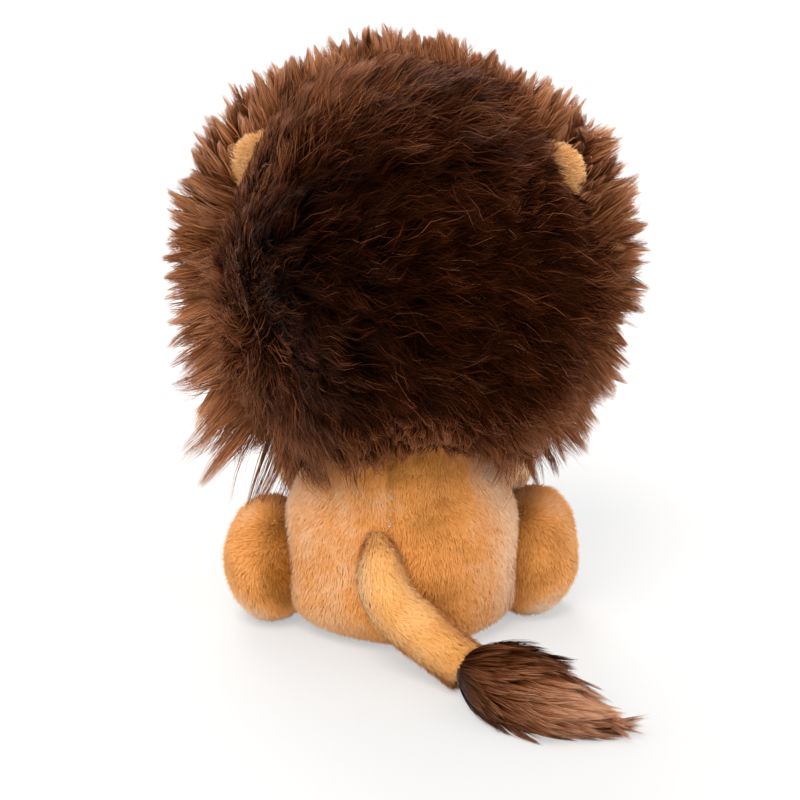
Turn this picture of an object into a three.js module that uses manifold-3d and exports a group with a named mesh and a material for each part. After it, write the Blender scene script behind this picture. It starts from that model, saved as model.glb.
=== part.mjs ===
// A seated plush lion with a deep mane, sewn from plush and stuffed, in millimetres.
// Up is +Z, the face looks along -Y and the toy's own left side is +X.
// The origin is the middle of the flat seat, on the surface that the toy sits on.
import * as THREE from 'three';
import { mergeVertices } from 'three/addons/utils/BufferGeometryUtils.js';
import Module from 'manifold-3d';

const wasm = await Module();
wasm.setup();

// Cloth, seams and the surface below
const CLOTH = 1.6; // backing cloth with the root of its pile
const SEAM_GAP = 0.3; // between pieces that are sewn or laid together
const STUFFING_GAP = 1.1; // between a limb's cover and what fills it
const SWING_GAP = 0.7; // between the body and a limb that swings past it
const FLOOR_PRESS = 0.5; // how far soft parts flatten where they rest
const LIMB_MOUTH_SHARE = 0.75; // of a joint ball's radius, to the cut that opens it
const OVERRUN = 400; // how far a cutting block runs past what it cuts

// Body, a pear that is widest near the seat
const BODY_HALF_WIDTH = 48;
const BODY_HALF_DEPTH = 42;
const BODY_HEIGHT = 101.4;
const NECK_RADIUS = 24;
const PELLET_BAG_TOP = 15;
const BODY_PROFILE_SHARES = [ // of the half width, of the height
  [0.52, 0],
  [0.74, 0.022],
  [0.87, 0.06],
  [0.955, 0.125],
  [1, 0.24],
  [0.98, 0.38],
  [0.915, 0.5],
  [0.81, 0.62],
  [0.69, 0.76],
  [0.585, 0.9],
];

// Head, a ball that sits on the neck
const HEAD_HALF_WIDTH = 62;
const HEAD_HALF_DEPTH = 58;
const HEAD_HALF_HEIGHT = 60;
const HEAD_FORWARD = 2;

// Mane, a rear hood and a fuller ruff round the face, as deep as the mass of its pile
const HOOD_SIDE = 14;
const HOOD_REAR = 19;
const HOOD_CROWN = 22;
const HOOD_DROP = 10;
const RUFF_SIDE = 25;
const RUFF_REAR = 19;
const RUFF_CROWN = 38;
const RUFF_DROP = 15;
const MANE_HEM_HEIGHT = 86.5;
const MANE_COLLAR_RADIUS = 36;
const MANE_PARTING_FORWARD = 12;
const RUFF_FRONT_FORWARD = 45;

// Ears, flat rounded flaps in the parting of the mane
const EAR_HALF_WIDTH = 15;
const EAR_LENGTH = 36;
const EAR_REACH = 14;
const EAR_THICKNESS = 7;
const EAR_LINING_RISE = 1.5;
const EAR_LINING_SHARE = 0.78;
const EAR_LIFT = THREE.MathUtils.degToRad(27);

// Muzzle, chin, nose and mouth
const MUZZLE_LOBE_OUT = 11;
const MUZZLE_LOBE_HALF_WIDTH = 16;
const MUZZLE_LOBE_DEPTH = 15;
const MUZZLE_LOBE_HALF_HEIGHT = 12.5;
const MUZZLE_DROP = 16;
const CHIN_HALF_WIDTH = 13;
const CHIN_DEPTH = 10;
const CHIN_HALF_HEIGHT = 9;
const CHIN_DROP = 29;
const NOSE_HALF_WIDTH = 9;
const NOSE_DEPTH = 7;
const NOSE_HALF_HEIGHT = 6;
const NOSE_DROP = 7;
const NOSE_STANDOFF_SHARE = 0.75; // of the lobes' depth, to the nose's centre
const MOUTH_THREAD_RADIUS = 0.8;
const MOUTH_CURVE_SHARES = [ // sideways and height on a lobe, from the cleft to the corner
  [-0.69, 0.1],
  [-0.69, -0.42],
  [-0.34, -0.7],
  [0.02, -0.76],
  [0.36, -0.68],
];

// Safety eyes: a dome on a shank, held by a washer inside the head
const EYE_RADIUS = 6.5;
const EYE_HEIGHT = 4.6;
const EYE_RIM = 0.8;
const EYE_SHANK_RADIUS = 1.6;
const EYE_SHANK_LENGTH = 10;
const EYE_WASHER_RADIUS = 7;
const EYE_WASHER_THICKNESS = 1.2;
const EYE_TURN = THREE.MathUtils.degToRad(22);
const EYE_LIFT = THREE.MathUtils.degToRad(6);

// Forelegs, from ball-ended shoulders down to paws on the floor
const SHOULDER_OUT = 38;
const SHOULDER_FORWARD = 14;
const SHOULDER_HEIGHT = 70;
const SHOULDER_RADIUS = 14;
const FORELEG_RADIUS = 13.5;
const PAW_OUT = 27;
const PAW_FORWARD = 58;
const PAW_TOE = 17;
const FORELEG_BULGE_OUT = { left: 11, right: 0 };
const FORELEG_BULGE_FORWARD = 10;
const FORELEG_SHARES = [ // along the leg, of the bulge, of the radius
  [0, 0, 0.96],
  [0.34, 1, 1],
  [0.68, 0.6, 0.9],
  [1, 0, 1],
];
const FORELEG_LIFT = THREE.MathUtils.degToRad(45);

// Hind legs, a ball-ended hip and an upright foot beside the seat
const HIP_OUT = 40;
const HIP_BACK = 2;
const HIP_HEIGHT = 21;
const HIP_RADIUS = 13.5;
const FOOT_HALF_WIDTH = 18;
const FOOT_HALF_HEIGHT = 24;
const FOOT_HEEL = 20;
const FOOT_TOE = 18;
const SOLE_ROUNDING = 8;
const FOOT_OUT = { left: 52.5, right: 50.5 };
const FOOT_BACK = { left: 6, right: -9 };
const FOOT_TOE_OUT = { left: THREE.MathUtils.degToRad(5), right: THREE.MathUtils.degToRad(12) };
const FOOT_SHARES = [ // along the foot, of the half width, of the half height
  [0, 0.9, 0.9],
  [0.35, 1, 0.97],
  [0.7, 0.98, 1],
  [1, 0.92, 1],
];
const SOLE_PAD_THICKNESS = 1.4;
const SOLE_PAD_SHARE = 0.82; // of the flat of the sole
const HIND_LEG_TOES_IN = THREE.MathUtils.degToRad(8);
const HIND_LEG_TOES_OUT = THREE.MathUtils.degToRad(14);

// Tail, a stuffed sleeve that comes off the back and lies down on the floor
const TAIL_RADIUS = 9.3;
const TAIL_ROOT_RADIUS = 10.8;
const TAIL_ROOT_OUT = 3;
const TAIL_ROOT_BACK = 40;
const TAIL_ROOT_HEIGHT = 46;
const TAIL_END_OUT = -35;
const TAIL_END_BACK = 66;
const TAIL_SHARES = [ // sideways, back and down, from the root to the end
  [0, 0, 0],
  [0, 0.42, 0.14],
  [0.05, 0.64, 0.37],
  [0.18, 0.73, 0.61],
  [0.45, 0.79, 0.85],
  [0.74, 0.87, 0.98],
  [1, 1, 1],
];
const TAIL_SWING = THREE.MathUtils.degToRad(18);

// Tuft at the end of the tail, on a small ball of its own
const TUFT_ROOT_RADIUS = 7.4;
const TUFT_SEAM_STANDOFF = 2.2;
const TUFT_LENGTH = 64;
const TUFT_HALF_WIDTH = 15.5;
const TUFT_HALF_HEIGHT = 11.5;
const TUFT_HEADING = THREE.MathUtils.degToRad(154); // from +X towards +Y
const TUFT_TIP_ROUNDING = 4;
const TUFT_SHARES = [ // along the tuft, of the half width, of the half height
  [0, 0.42, 0.56],
  [0.14, 0.78, 0.86],
  [0.32, 1, 1],
  [0.56, 0.93, 0.88],
  [0.8, 0.66, 0.6],
  [1, 0.36, 0.36],
];

// Facet counts
const BODY_SEGMENTS = 20;
const HEAD_SEGMENTS = 20;
const HEAD_RINGS = 11;
const SMALL_SEGMENTS = 14;
const SMALL_RINGS = 7;
const LIMB_SEGMENTS = 10;
const LIMB_RINGS = 7;
const TAIL_RINGS = 10;
const THREAD_SEGMENTS = 5;
const THREAD_STEPS = 6;
const EYE_SEGMENTS = 12;
const EYE_DOME_STEPS = 4;
const SWING_STEPS = 2;

// Heights and centres that follow from the sizes above
const NECK_PLANE = BODY_HEIGHT + SEAM_GAP;
const neckRise = HEAD_HALF_HEIGHT * Math.sqrt(1 - (NECK_RADIUS / HEAD_HALF_WIDTH) ** 2);
const headCentre = new THREE.Vector3(0, -HEAD_FORWARD, NECK_PLANE + neckRise);
const headAxes = new THREE.Vector3(HEAD_HALF_WIDTH, HEAD_HALF_DEPTH, HEAD_HALF_HEIGHT);
const neckPivot = new THREE.Vector3(0, 0, NECK_PLANE);
const tailPivot = new THREE.Vector3(TAIL_ROOT_OUT, TAIL_ROOT_BACK, TAIL_ROOT_HEIGHT);
const tuftPivot = new THREE.Vector3(TAIL_END_OUT, TAIL_END_BACK, TAIL_RADIUS - FLOOR_PRESS);

const UP = new THREE.Vector3(0, 0, 1);
const tuftHeading = new THREE.Vector3(Math.cos(TUFT_HEADING), Math.sin(TUFT_HEADING), 0);
const SIDES = { left: 1, right: -1 };

const FINISHES = {
  tanPlush: { color: 0xd69a55, roughness: 1, metalness: 0 },
  tailPlush: { color: 0xe8b46c, roughness: 1, metalness: 0 },
  creamPlush: { color: 0xf2dcc0, roughness: 1, metalness: 0 },
  hoodPile: { color: 0x3a1d11, roughness: 1, metalness: 0 },
  ruffPile: { color: 0x7a4a33, roughness: 1, metalness: 0 },
  tuftPile: { color: 0x6b402a, roughness: 1, metalness: 0 },
  stuffing: { color: 0xf4f1ea, roughness: 1, metalness: 0 },
  cotton: { color: 0xdcd3c0, roughness: 0.95, metalness: 0 },
  satin: { color: 0x3b2016, roughness: 0.6, metalness: 0 },
  thread: { color: 0x2c1810, roughness: 0.8, metalness: 0 },
  eyeGloss: { color: 0x120b08, roughness: 0.1, metalness: 0 },
  washer: { color: 0xe6e3dc, roughness: 0.5, metalness: 0 },
};

// Turns a closed geometry into a solid, with its doubled vertices merged.
function solidFrom(geometry) {
  const bare = geometry.clone();
  bare.deleteAttribute('normal');
  bare.deleteAttribute('uv');
  const merged = mergeVertices(bare);
  const corners = Array.from(merged.index.array);
  const kept = [];
  for (let i = 0; i < corners.length; i += 3) {
    const [a, b, c] = corners.slice(i, i + 3);
    if (a !== b && b !== c && c !== a) kept.push(a, b, c);
  }
  return new wasm.Manifold(new wasm.Mesh({
    numProp: 3,
    vertProperties: Float32Array.from(merged.attributes.position.array),
    triVerts: Uint32Array.from(kept),
  }));
}

// Turns a solid back into a geometry.
function geometryFrom(solid) {
  const mesh = solid.getMesh();
  const geometry = new THREE.BufferGeometry();
  geometry.setAttribute('position', new THREE.BufferAttribute(Float32Array.from(mesh.vertProperties), 3));
  geometry.setIndex(new THREE.BufferAttribute(Uint32Array.from(mesh.triVerts), 1));
  geometry.computeVertexNormals();
  return geometry;
}

// An ellipsoid with its poles along Z.
function ellipsoid(centre, axes, segments, rings) {
  const geometry = new THREE.SphereGeometry(1, segments, rings);
  geometry.rotateX(Math.PI / 2);
  geometry.scale(axes.x, axes.y, axes.z);
  geometry.translate(centre.x, centre.y, centre.z);
  return solidFrom(geometry);
}

// A small ball, and the socket that clears its facets at every turn.
function ball(centre, radius) {
  const axes = new THREE.Vector3(radius, radius, radius);
  return ellipsoid(centre, axes, SMALL_SEGMENTS, SMALL_RINGS);
}

function socket(centre, radius) {
  return ball(centre, (radius + SEAM_GAP) / Math.cos(Math.PI / SMALL_SEGMENTS) ** 2);
}

// A cutting block between two corners.
function block(low, high) {
  const size = high.clone().sub(low);
  const geometry = new THREE.BoxGeometry(size.x, size.y, size.z);
  geometry.translate(...low.clone().add(high).multiplyScalar(0.5).toArray());
  return solidFrom(geometry);
}

function below(height) {
  return block(
    new THREE.Vector3(-OVERRUN, -OVERRUN, -OVERRUN),
    new THREE.Vector3(OVERRUN, OVERRUN, height),
  );
}

function between(low, high) {
  return block(
    new THREE.Vector3(-OVERRUN, low, -OVERRUN),
    new THREE.Vector3(OVERRUN, high, OVERRUN),
  );
}

// A rod along a direction, from one depth to another.
function rod(origin, direction, start, end, radius) {
  const geometry = new THREE.CylinderGeometry(radius, radius, end - start, EYE_SEGMENTS);
  geometry.translate(0, (start + end) / 2, 0);
  const turn = new THREE.Quaternion().setFromUnitVectors(new THREE.Vector3(0, 1, 0), direction);
  geometry.applyQuaternion(turn);
  geometry.translate(origin.x, origin.y, origin.z);
  return solidFrom(geometry);
}

// A turned solid round Z from [radius, height] points that start and end on the axis.
function turned(profile, depthShare, segments) {
  const points = profile.map(([radius, height]) => new THREE.Vector2(radius, height));
  const geometry = new THREE.LatheGeometry(points, segments);
  geometry.rotateX(Math.PI / 2);
  geometry.scale(1, depthShare, 1);
  return solidFrom(geometry);
}

// The body's pear, grown or drawn in by a margin, with its flat top at a given height.
function bodyForm(margin, top) {
  const low = -FLOOR_PRESS;
  const sides = BODY_PROFILE_SHARES.map(([wide, up]) => [
    BODY_HALF_WIDTH * wide + margin,
    low + (BODY_HEIGHT - low) * up,
  ]);
  sides[0][1] -= margin;
  sides.push([NECK_RADIUS + margin, BODY_HEIGHT]);
  if (top > BODY_HEIGHT) sides.push([NECK_RADIUS + margin, top]);
  const profile = [[0, low - margin], ...sides, [0, top]];
  return turned(profile, BODY_HALF_DEPTH / BODY_HALF_WIDTH, BODY_SEGMENTS);
}

// The head's ball, grown or drawn in by a margin.
function headForm(margin) {
  return ellipsoid(headCentre, headAxes.clone().addScalar(margin), HEAD_SEGMENTS, HEAD_RINGS);
}

// A stuffed tube: oval rings square to a smooth path, rounded off at both ends.
// Each station is { at, wide, deep }, and wide lies along the facing direction.
function stuffed(stations, facing, margin, rounding, rings) {
  const path = new THREE.CatmullRomCurve3(stations.map((station) => station.at), false, 'centripetal');
  const radii = new THREE.CatmullRomCurve3(
    stations.map((station) => new THREE.Vector3(station.wide, station.deep, 0)),
  );
  const length = path.getLength();
  const positions = [];
  const centres = [];
  for (let i = 0; i <= rings; i += 1) {
    const along = rounding.start > 0
      ? (1 - Math.cos((Math.PI * i) / rings)) / 2
      : Math.sin((Math.PI / 2) * (i / rings));
    const inset = THREE.MathUtils.lerp(-margin, length + margin, along);
    const share = THREE.MathUtils.clamp(inset / length, 0, 1);
    const at = path.getPointAt(share);
    const tangent = path.getTangentAt(share);
    at.addScaledVector(tangent, inset - share * length);
    const wideWay = facing.clone().addScaledVector(tangent, -facing.dot(tangent)).normalize();
    const deepWay = tangent.clone().cross(wideWay);
    const size = radii.getPoint(path.getUtoTmapping(share));
    const trimmed = roundedOff(inset + margin, rounding.start + margin, size.x + margin)
      * roundedOff(length + margin - inset, rounding.end + margin, size.x + margin);
    centres.push(at);
    for (let j = 0; j < LIMB_SEGMENTS; j += 1) {
      const angle = (2 * Math.PI * j) / LIMB_SEGMENTS;
      const point = at.clone()
        .addScaledVector(wideWay, (size.x + margin) * trimmed * Math.cos(angle))
        .addScaledVector(deepWay, (size.y + margin) * trimmed * Math.sin(angle));
      positions.push(...point.toArray());
    }
  }
  const startCentre = positions.length / 3;
  positions.push(...centres[0].toArray(), ...centres[rings].toArray());
  const index = [];
  for (let i = 0; i < rings; i += 1) {
    for (let j = 0; j < LIMB_SEGMENTS; j += 1) {
      const next = (j + 1) % LIMB_SEGMENTS;
      const a = i * LIMB_SEGMENTS + j;
      const b = i * LIMB_SEGMENTS + next;
      const c = a + LIMB_SEGMENTS;
      const d = b + LIMB_SEGMENTS;
      index.push(a, b, c, b, d, c);
    }
  }
  for (let j = 0; j < LIMB_SEGMENTS; j += 1) {
    const next = (j + 1) % LIMB_SEGMENTS;
    const last = rings * LIMB_SEGMENTS;
    index.push(startCentre, next, j, startCentre + 1, last + j, last + next);
  }
  const geometry = new THREE.BufferGeometry();
  geometry.setAttribute('position', new THREE.BufferAttribute(new Float32Array(positions), 3));
  geometry.setIndex(index);
  return solidFrom(geometry);
}

// The share of a radius that is left at a distance from an end with a rounded edge.
function roundedOff(distance, edge, radius) {
  const reach = Math.min(edge, radius);
  if (distance >= reach || reach <= 0) return 1;
  const drop = reach - distance;
  return (radius - reach + Math.sqrt(Math.max(reach * reach - drop * drop, 0))) / radius;
}

// The solid turned about an axis through a pivot.
function turnedAbout(solid, pivot, axis, angle) {
  const turn = new THREE.Matrix4().makeTranslation(pivot.x, pivot.y, pivot.z)
    .multiply(new THREE.Matrix4().makeRotationAxis(axis, angle))
    .multiply(new THREE.Matrix4().makeTranslation(-pivot.x, -pivot.y, -pivot.z));
  return solid.transform(turn.toArray());
}

// Everything that the body sweeps through, seen from a limb that swings on its pivot.
function bodySweep(pivot, axis, from, to, margin) {
  const body = bodyForm(margin, BODY_HEIGHT + margin);
  let sweep = body;
  for (let step = 0; step <= SWING_STEPS; step += 1) {
    const angle = THREE.MathUtils.lerp(from, to, step / SWING_STEPS);
    if (angle !== 0) sweep = sweep.add(turnedAbout(body, pivot, axis, -angle));
  }
  return sweep;
}

// A limb's skin, open where it joins the body, and the stuffing inside it.
function skinAndStuffing(form, mouth) {
  const floor = below(0);
  return {
    skin: form(0).subtract(form(-CLOTH)).subtract(mouth).subtract(floor),
    stuffing: form(-CLOTH - STUFFING_GAP).subtract(floor),
  };
}

// One foreleg: a shoulder ball and a tapering leg that bends out and ends in a paw.
function foreleg(sideName) {
  const side = SIDES[sideName];
  const shoulder = new THREE.Vector3(side * SHOULDER_OUT, -SHOULDER_FORWARD, SHOULDER_HEIGHT);
  const pawHeight = FORELEG_RADIUS - FLOOR_PRESS;
  const paw = new THREE.Vector3(side * PAW_OUT, -PAW_FORWARD, pawHeight);
  const bulge = new THREE.Vector3(side * FORELEG_BULGE_OUT[sideName], -FORELEG_BULGE_FORWARD, 0);
  const stations = FORELEG_SHARES.map(([along, bend, radius]) => ({
    at: shoulder.clone().lerp(paw, along).addScaledVector(bulge, bend),
    wide: FORELEG_RADIUS * radius,
    deep: FORELEG_RADIUS * radius,
  }));
  stations.push({
    at: paw.clone().add(new THREE.Vector3(0, -PAW_TOE, 0)),
    wide: FORELEG_RADIUS,
    deep: FORELEG_RADIUS,
  });
  const axis = new THREE.Vector3(-1, 0, 0);
  const facing = new THREE.Vector3(1, 0, 0);
  const rounding = { start: 0, end: FORELEG_RADIUS };
  const form = (margin) => stuffed(stations, facing, margin, rounding, LIMB_RINGS)
    .subtract(bodySweep(shoulder, axis, 0, FORELEG_LIFT, SWING_GAP - margin))
    .add(ball(shoulder, SHOULDER_RADIUS + margin));
  const mouth = openMouth(shoulder, side, SHOULDER_RADIUS);
  return { pivot: shoulder, ...skinAndStuffing(form, mouth) };
}

// The cut that opens a limb's ball towards the middle of the body.
function openMouth(pivot, side, radius) {
  const near = pivot.x - side * radius * LIMB_MOUTH_SHARE;
  const far = pivot.x - side * (radius + SEAM_GAP);
  return block(
    new THREE.Vector3(Math.min(near, far), pivot.y - radius, pivot.z - radius),
    new THREE.Vector3(Math.max(near, far), pivot.y + radius, pivot.z + radius),
  );
}

// One hind leg: a hip ball and an upright foot with a flat sole at the front.
function hindLeg(sideName) {
  const side = SIDES[sideName];
  const hip = new THREE.Vector3(side * HIP_OUT, HIP_BACK, HIP_HEIGHT);
  const footHeight = FOOT_HALF_HEIGHT - FLOOR_PRESS;
  const centre = new THREE.Vector3(side * FOOT_OUT[sideName], FOOT_BACK[sideName], footHeight);
  const toeOut = FOOT_TOE_OUT[sideName];
  const toe = new THREE.Vector3(side * Math.sin(toeOut), -Math.cos(toeOut), 0);
  const heel = centre.clone().addScaledVector(toe, -FOOT_HEEL);
  const sole = centre.clone().addScaledVector(toe, FOOT_TOE);
  const stations = FOOT_SHARES.map(([along, wide, deep]) => ({
    at: heel.clone().lerp(sole, along),
    wide: FOOT_HALF_HEIGHT * deep,
    deep: FOOT_HALF_WIDTH * wide,
  }));
  const axis = new THREE.Vector3(0, 0, side);
  const rounding = { start: FOOT_HEEL, end: SOLE_ROUNDING };
  const sweep = (margin) => bodySweep(
    hip,
    axis,
    -HIND_LEG_TOES_IN,
    HIND_LEG_TOES_OUT,
    SWING_GAP - margin,
  );
  const form = (margin) => stuffed(stations, UP, margin, rounding, LIMB_RINGS)
    .subtract(sweep(margin))
    .add(ball(hip, HIP_RADIUS + margin));
  return {
    pivot: hip,
    pad: solePad(sole, toe).subtract(sweep(0)),
    ...skinAndStuffing(form, openMouth(hip, side, HIP_RADIUS)),
  };
}

// The stitched-on pad that covers the flat of a sole.
function solePad(sole, toe) {
  const geometry = new THREE.CylinderGeometry(1, 1, SOLE_PAD_THICKNESS, LIMB_SEGMENTS);
  const [, wide, tall] = FOOT_SHARES[FOOT_SHARES.length - 1];
  const flatTall = FOOT_HALF_HEIGHT * tall - SOLE_ROUNDING;
  const flatWide = FOOT_HALF_WIDTH * wide * (flatTall / (FOOT_HALF_HEIGHT * tall));
  geometry.scale(flatWide * SOLE_PAD_SHARE, 1, flatTall * SOLE_PAD_SHARE);
  geometry.rotateZ(Math.atan2(toe.y, toe.x) - Math.PI / 2);
  const centre = sole.clone().addScaledVector(toe, SEAM_GAP + SOLE_PAD_THICKNESS / 2);
  geometry.translate(centre.x, centre.y, centre.z);
  return solidFrom(geometry);
}

// The tail: a root ball and a sleeve that hangs down the back and lies out to one side.
function tail() {
  const stations = TAIL_SHARES.map(([across, back, down]) => ({
    at: new THREE.Vector3(
      THREE.MathUtils.lerp(tailPivot.x, tuftPivot.x, across),
      THREE.MathUtils.lerp(tailPivot.y, tuftPivot.y, back),
      THREE.MathUtils.lerp(tailPivot.z, tuftPivot.z, down),
    ),
    wide: TAIL_RADIUS,
    deep: TAIL_RADIUS,
  }));
  const facing = new THREE.Vector3(1, 1, 0).normalize();
  const form = (margin) => stuffed(stations, facing, margin, { start: 0, end: 0 }, TAIL_RINGS)
    .subtract(bodySweep(tailPivot, UP, -TAIL_SWING, TAIL_SWING, SWING_GAP - margin))
    .add(ball(tailPivot, TAIL_ROOT_RADIUS + margin));
  const reach = TAIL_ROOT_RADIUS;
  const mouth = block(
    tailPivot.clone().add(new THREE.Vector3(-reach, -reach - SEAM_GAP, -reach)),
    tailPivot.clone().add(new THREE.Vector3(reach, -reach * LIMB_MOUTH_SHARE, reach)),
  );
  const end = rod(tuftPivot, tuftHeading, -TUFT_SEAM_STANDOFF, OVERRUN, OVERRUN);
  const pieces = skinAndStuffing(form, mouth);
  const seat = socket(tuftPivot, TUFT_ROOT_RADIUS);
  const lining = socket(tuftPivot, TUFT_ROOT_RADIUS + CLOTH);
  return {
    skin: pieces.skin.subtract(end).subtract(seat),
    stuffing: pieces.stuffing.subtract(end).subtract(lining),
  };
}

// The tuft: a bunch of long pile that lies along the floor and narrows to its tip.
function tuft() {
  const stations = TUFT_SHARES.map(([along, wide, tall]) => ({
    at: new THREE.Vector3(
      tuftPivot.x + tuftHeading.x * TUFT_LENGTH * along,
      tuftPivot.y + tuftHeading.y * TUFT_LENGTH * along,
      Math.max(TUFT_HALF_HEIGHT * tall, TUFT_ROOT_RADIUS) - FLOOR_PRESS,
    ),
    wide: TUFT_HALF_HEIGHT * tall,
    deep: TUFT_HALF_WIDTH * wide,
  }));
  stations[0].at.z = tuftPivot.z;
  return stuffed(stations, UP, 0, { start: 0, end: TUFT_TIP_ROUNDING }, LIMB_RINGS)
    .add(ball(tuftPivot, TUFT_ROOT_RADIUS))
    .subtract(below(0));
}

// An ear or its lining, grown by a margin, leaning out from the side of the head.
function earForm(side, share, rise, margin) {
  const out = new THREE.Vector3(side * Math.cos(EAR_LIFT), 0, Math.sin(EAR_LIFT));
  const skull = 1 / Math.hypot(out.x / HEAD_HALF_WIDTH, out.z / HEAD_HALF_HEIGHT);
  const centre = headCentre.clone().addScaledVector(out, skull + EAR_REACH - EAR_LENGTH / 2);
  centre.y = -MANE_PARTING_FORWARD;
  const geometry = new THREE.SphereGeometry(1, SMALL_SEGMENTS, SMALL_RINGS);
  geometry.scale(
    EAR_LENGTH / 2 * share + margin,
    EAR_THICKNESS / 2 + rise + margin,
    EAR_HALF_WIDTH * share + margin,
  );
  geometry.rotateY(-side * EAR_LIFT);
  geometry.translate(centre.x, centre.y, centre.z);
  return solidFrom(geometry);
}

// A place on the head's surface, by turn and lift from straight ahead, with its normal.
function faceSpot(turn, lift) {
  const way = new THREE.Vector3(
    Math.sin(turn) * Math.cos(lift),
    -Math.cos(turn) * Math.cos(lift),
    Math.sin(lift),
  );
  return {
    at: way.clone().multiply(headAxes).add(headCentre),
    normal: way.clone().divide(headAxes).normalize(),
  };
}

// The y of the head's front at a drop below its centre, on the middle line.
function faceFront(drop) {
  return headCentre.y - HEAD_HALF_DEPTH * Math.sqrt(1 - (drop / HEAD_HALF_HEIGHT) ** 2);
}

// The two lobes of the muzzle, grown by a margin.
function muzzleForm(margin) {
  const axes = new THREE.Vector3(
    MUZZLE_LOBE_HALF_WIDTH,
    MUZZLE_LOBE_DEPTH,
    MUZZLE_LOBE_HALF_HEIGHT,
  ).addScalar(margin);
  const lobes = Object.values(SIDES)
    .map((side) => ellipsoid(lobeCentre(side), axes, SMALL_SEGMENTS, SMALL_RINGS));
  return lobes[0].add(lobes[1]);
}

function lobeCentre(side) {
  return new THREE.Vector3(
    side * MUZZLE_LOBE_OUT,
    faceFront(MUZZLE_DROP),
    headCentre.z - MUZZLE_DROP,
  );
}

// The mouth's thread: down the cleft between the lobes and out under each of them.
function mouthThread(radius) {
  const threads = Object.values(SIDES).map((side) => {
    const centre = lobeCentre(side);
    const points = MOUTH_CURVE_SHARES.map(([across, up]) => new THREE.Vector3(
      centre.x + side * MUZZLE_LOBE_HALF_WIDTH * across,
      centre.y - MUZZLE_LOBE_DEPTH * Math.sqrt(Math.max(1 - across * across - up * up, 0)),
      centre.z + MUZZLE_LOBE_HALF_HEIGHT * up,
    ));
    const outline = new THREE.Shape();
    for (let i = 0; i < THREAD_SEGMENTS; i += 1) {
      const angle = (2 * Math.PI * i) / THREAD_SEGMENTS;
      const corner = [radius * Math.cos(angle), radius * Math.sin(angle)];
      if (i === 0) outline.moveTo(...corner);
      else outline.lineTo(...corner);
    }
    outline.closePath();
    return solidFrom(new THREE.ExtrudeGeometry(outline, {
      steps: THREAD_STEPS,
      bevelEnabled: false,
      extrudePath: new THREE.CatmullRomCurve3(points),
    }));
  });
  return threads[0].add(threads[1]);
}

// A safety eye with its shank, along +Y from the surface that it sits on.
function eyeGeometry() {
  const dome = [];
  for (let i = 0; i <= EYE_DOME_STEPS; i += 1) {
    const angle = (Math.PI / 2) * (i / EYE_DOME_STEPS);
    dome.push([
      EYE_RADIUS * Math.cos(angle),
      EYE_RIM + (EYE_HEIGHT - EYE_RIM) * Math.sin(angle),
    ]);
  }
  dome[EYE_DOME_STEPS][0] = 0;
  const profile = [
    [0, -EYE_SHANK_LENGTH],
    [EYE_SHANK_RADIUS, -EYE_SHANK_LENGTH],
    [EYE_SHANK_RADIUS, 0],
    [EYE_RADIUS, 0],
    ...dome,
  ];
  return new THREE.LatheGeometry(profile.map(([r, y]) => new THREE.Vector2(r, y)), EYE_SEGMENTS);
}

// The washer that locks a shank, from y = 0 downwards.
function washerGeometry() {
  const bore = EYE_SHANK_RADIUS + SEAM_GAP;
  const profile = [
    [bore, -EYE_WASHER_THICKNESS],
    [EYE_WASHER_RADIUS, -EYE_WASHER_THICKNESS],
    [EYE_WASHER_RADIUS, 0],
    [bore, 0],
    [bore, -EYE_WASHER_THICKNESS],
  ];
  return new THREE.LatheGeometry(profile.map(([r, y]) => new THREE.Vector2(r, y)), EYE_SEGMENTS);
}

// A merged, closed copy of a geometry, so that each mesh is one clean solid.
function closed(geometry) {
  return geometryFrom(solidFrom(geometry));
}

const lion = new THREE.Group();

function jointGroup(pivot, parent) {
  const group = new THREE.Group();
  group.position.copy(pivot);
  if (parent.userData.pivot) group.position.sub(parent.userData.pivot);
  group.userData.pivot = pivot.clone();
  parent.add(group);
  return group;
}

// Adds a solid made in the toy's own frame to the group that it moves with.
function addSolid(group, name, solid, finish) {
  const geometry = geometryFrom(solid);
  const pivot = group.userData.pivot ?? new THREE.Vector3();
  geometry.translate(-pivot.x, -pivot.y, -pivot.z);
  const mesh = new THREE.Mesh(geometry, new THREE.MeshStandardMaterial(finish));
  mesh.name = name;
  group.add(mesh);
}

// Adds a piece made along +Y, set on a spot and turned to face along a direction.
function addPlaced(group, name, geometry, at, direction, finish) {
  const mesh = new THREE.Mesh(closed(geometry), new THREE.MeshStandardMaterial(finish));
  mesh.name = name;
  mesh.position.copy(at).sub(group.userData.pivot);
  mesh.quaternion.setFromUnitVectors(new THREE.Vector3(0, 1, 0), direction);
  group.add(mesh);
}

// Body: skin with an open neck, stuffing, and a bag of pellets that weighs the seat down
const limbs = {
  forelegs: { left: foreleg('left'), right: foreleg('right') },
  hindLegs: { left: hindLeg('left'), right: hindLeg('right') },
};
let seats = socket(tailPivot, TAIL_ROOT_RADIUS);
for (const name of Object.keys(SIDES)) {
  seats = seats
    .add(socket(limbs.forelegs[name].pivot, SHOULDER_RADIUS))
    .add(socket(limbs.hindLegs[name].pivot, HIP_RADIUS));
}
const bodyFilling = bodyForm(-CLOTH - SEAM_GAP, BODY_HEIGHT).subtract(seats);
addSolid(lion, 'body_skin', bodyForm(0, BODY_HEIGHT)
  .subtract(bodyForm(-CLOTH, BODY_HEIGHT + CLOTH))
  .subtract(seats)
  .subtract(below(0)), FINISHES.tanPlush);
addSolid(lion, 'body_stuffing', bodyFilling.subtract(below(PELLET_BAG_TOP + SEAM_GAP)), FINISHES.stuffing);
addSolid(lion, 'pellet_bag', bodyFilling.intersect(below(PELLET_BAG_TOP)), FINISHES.cotton);

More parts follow.
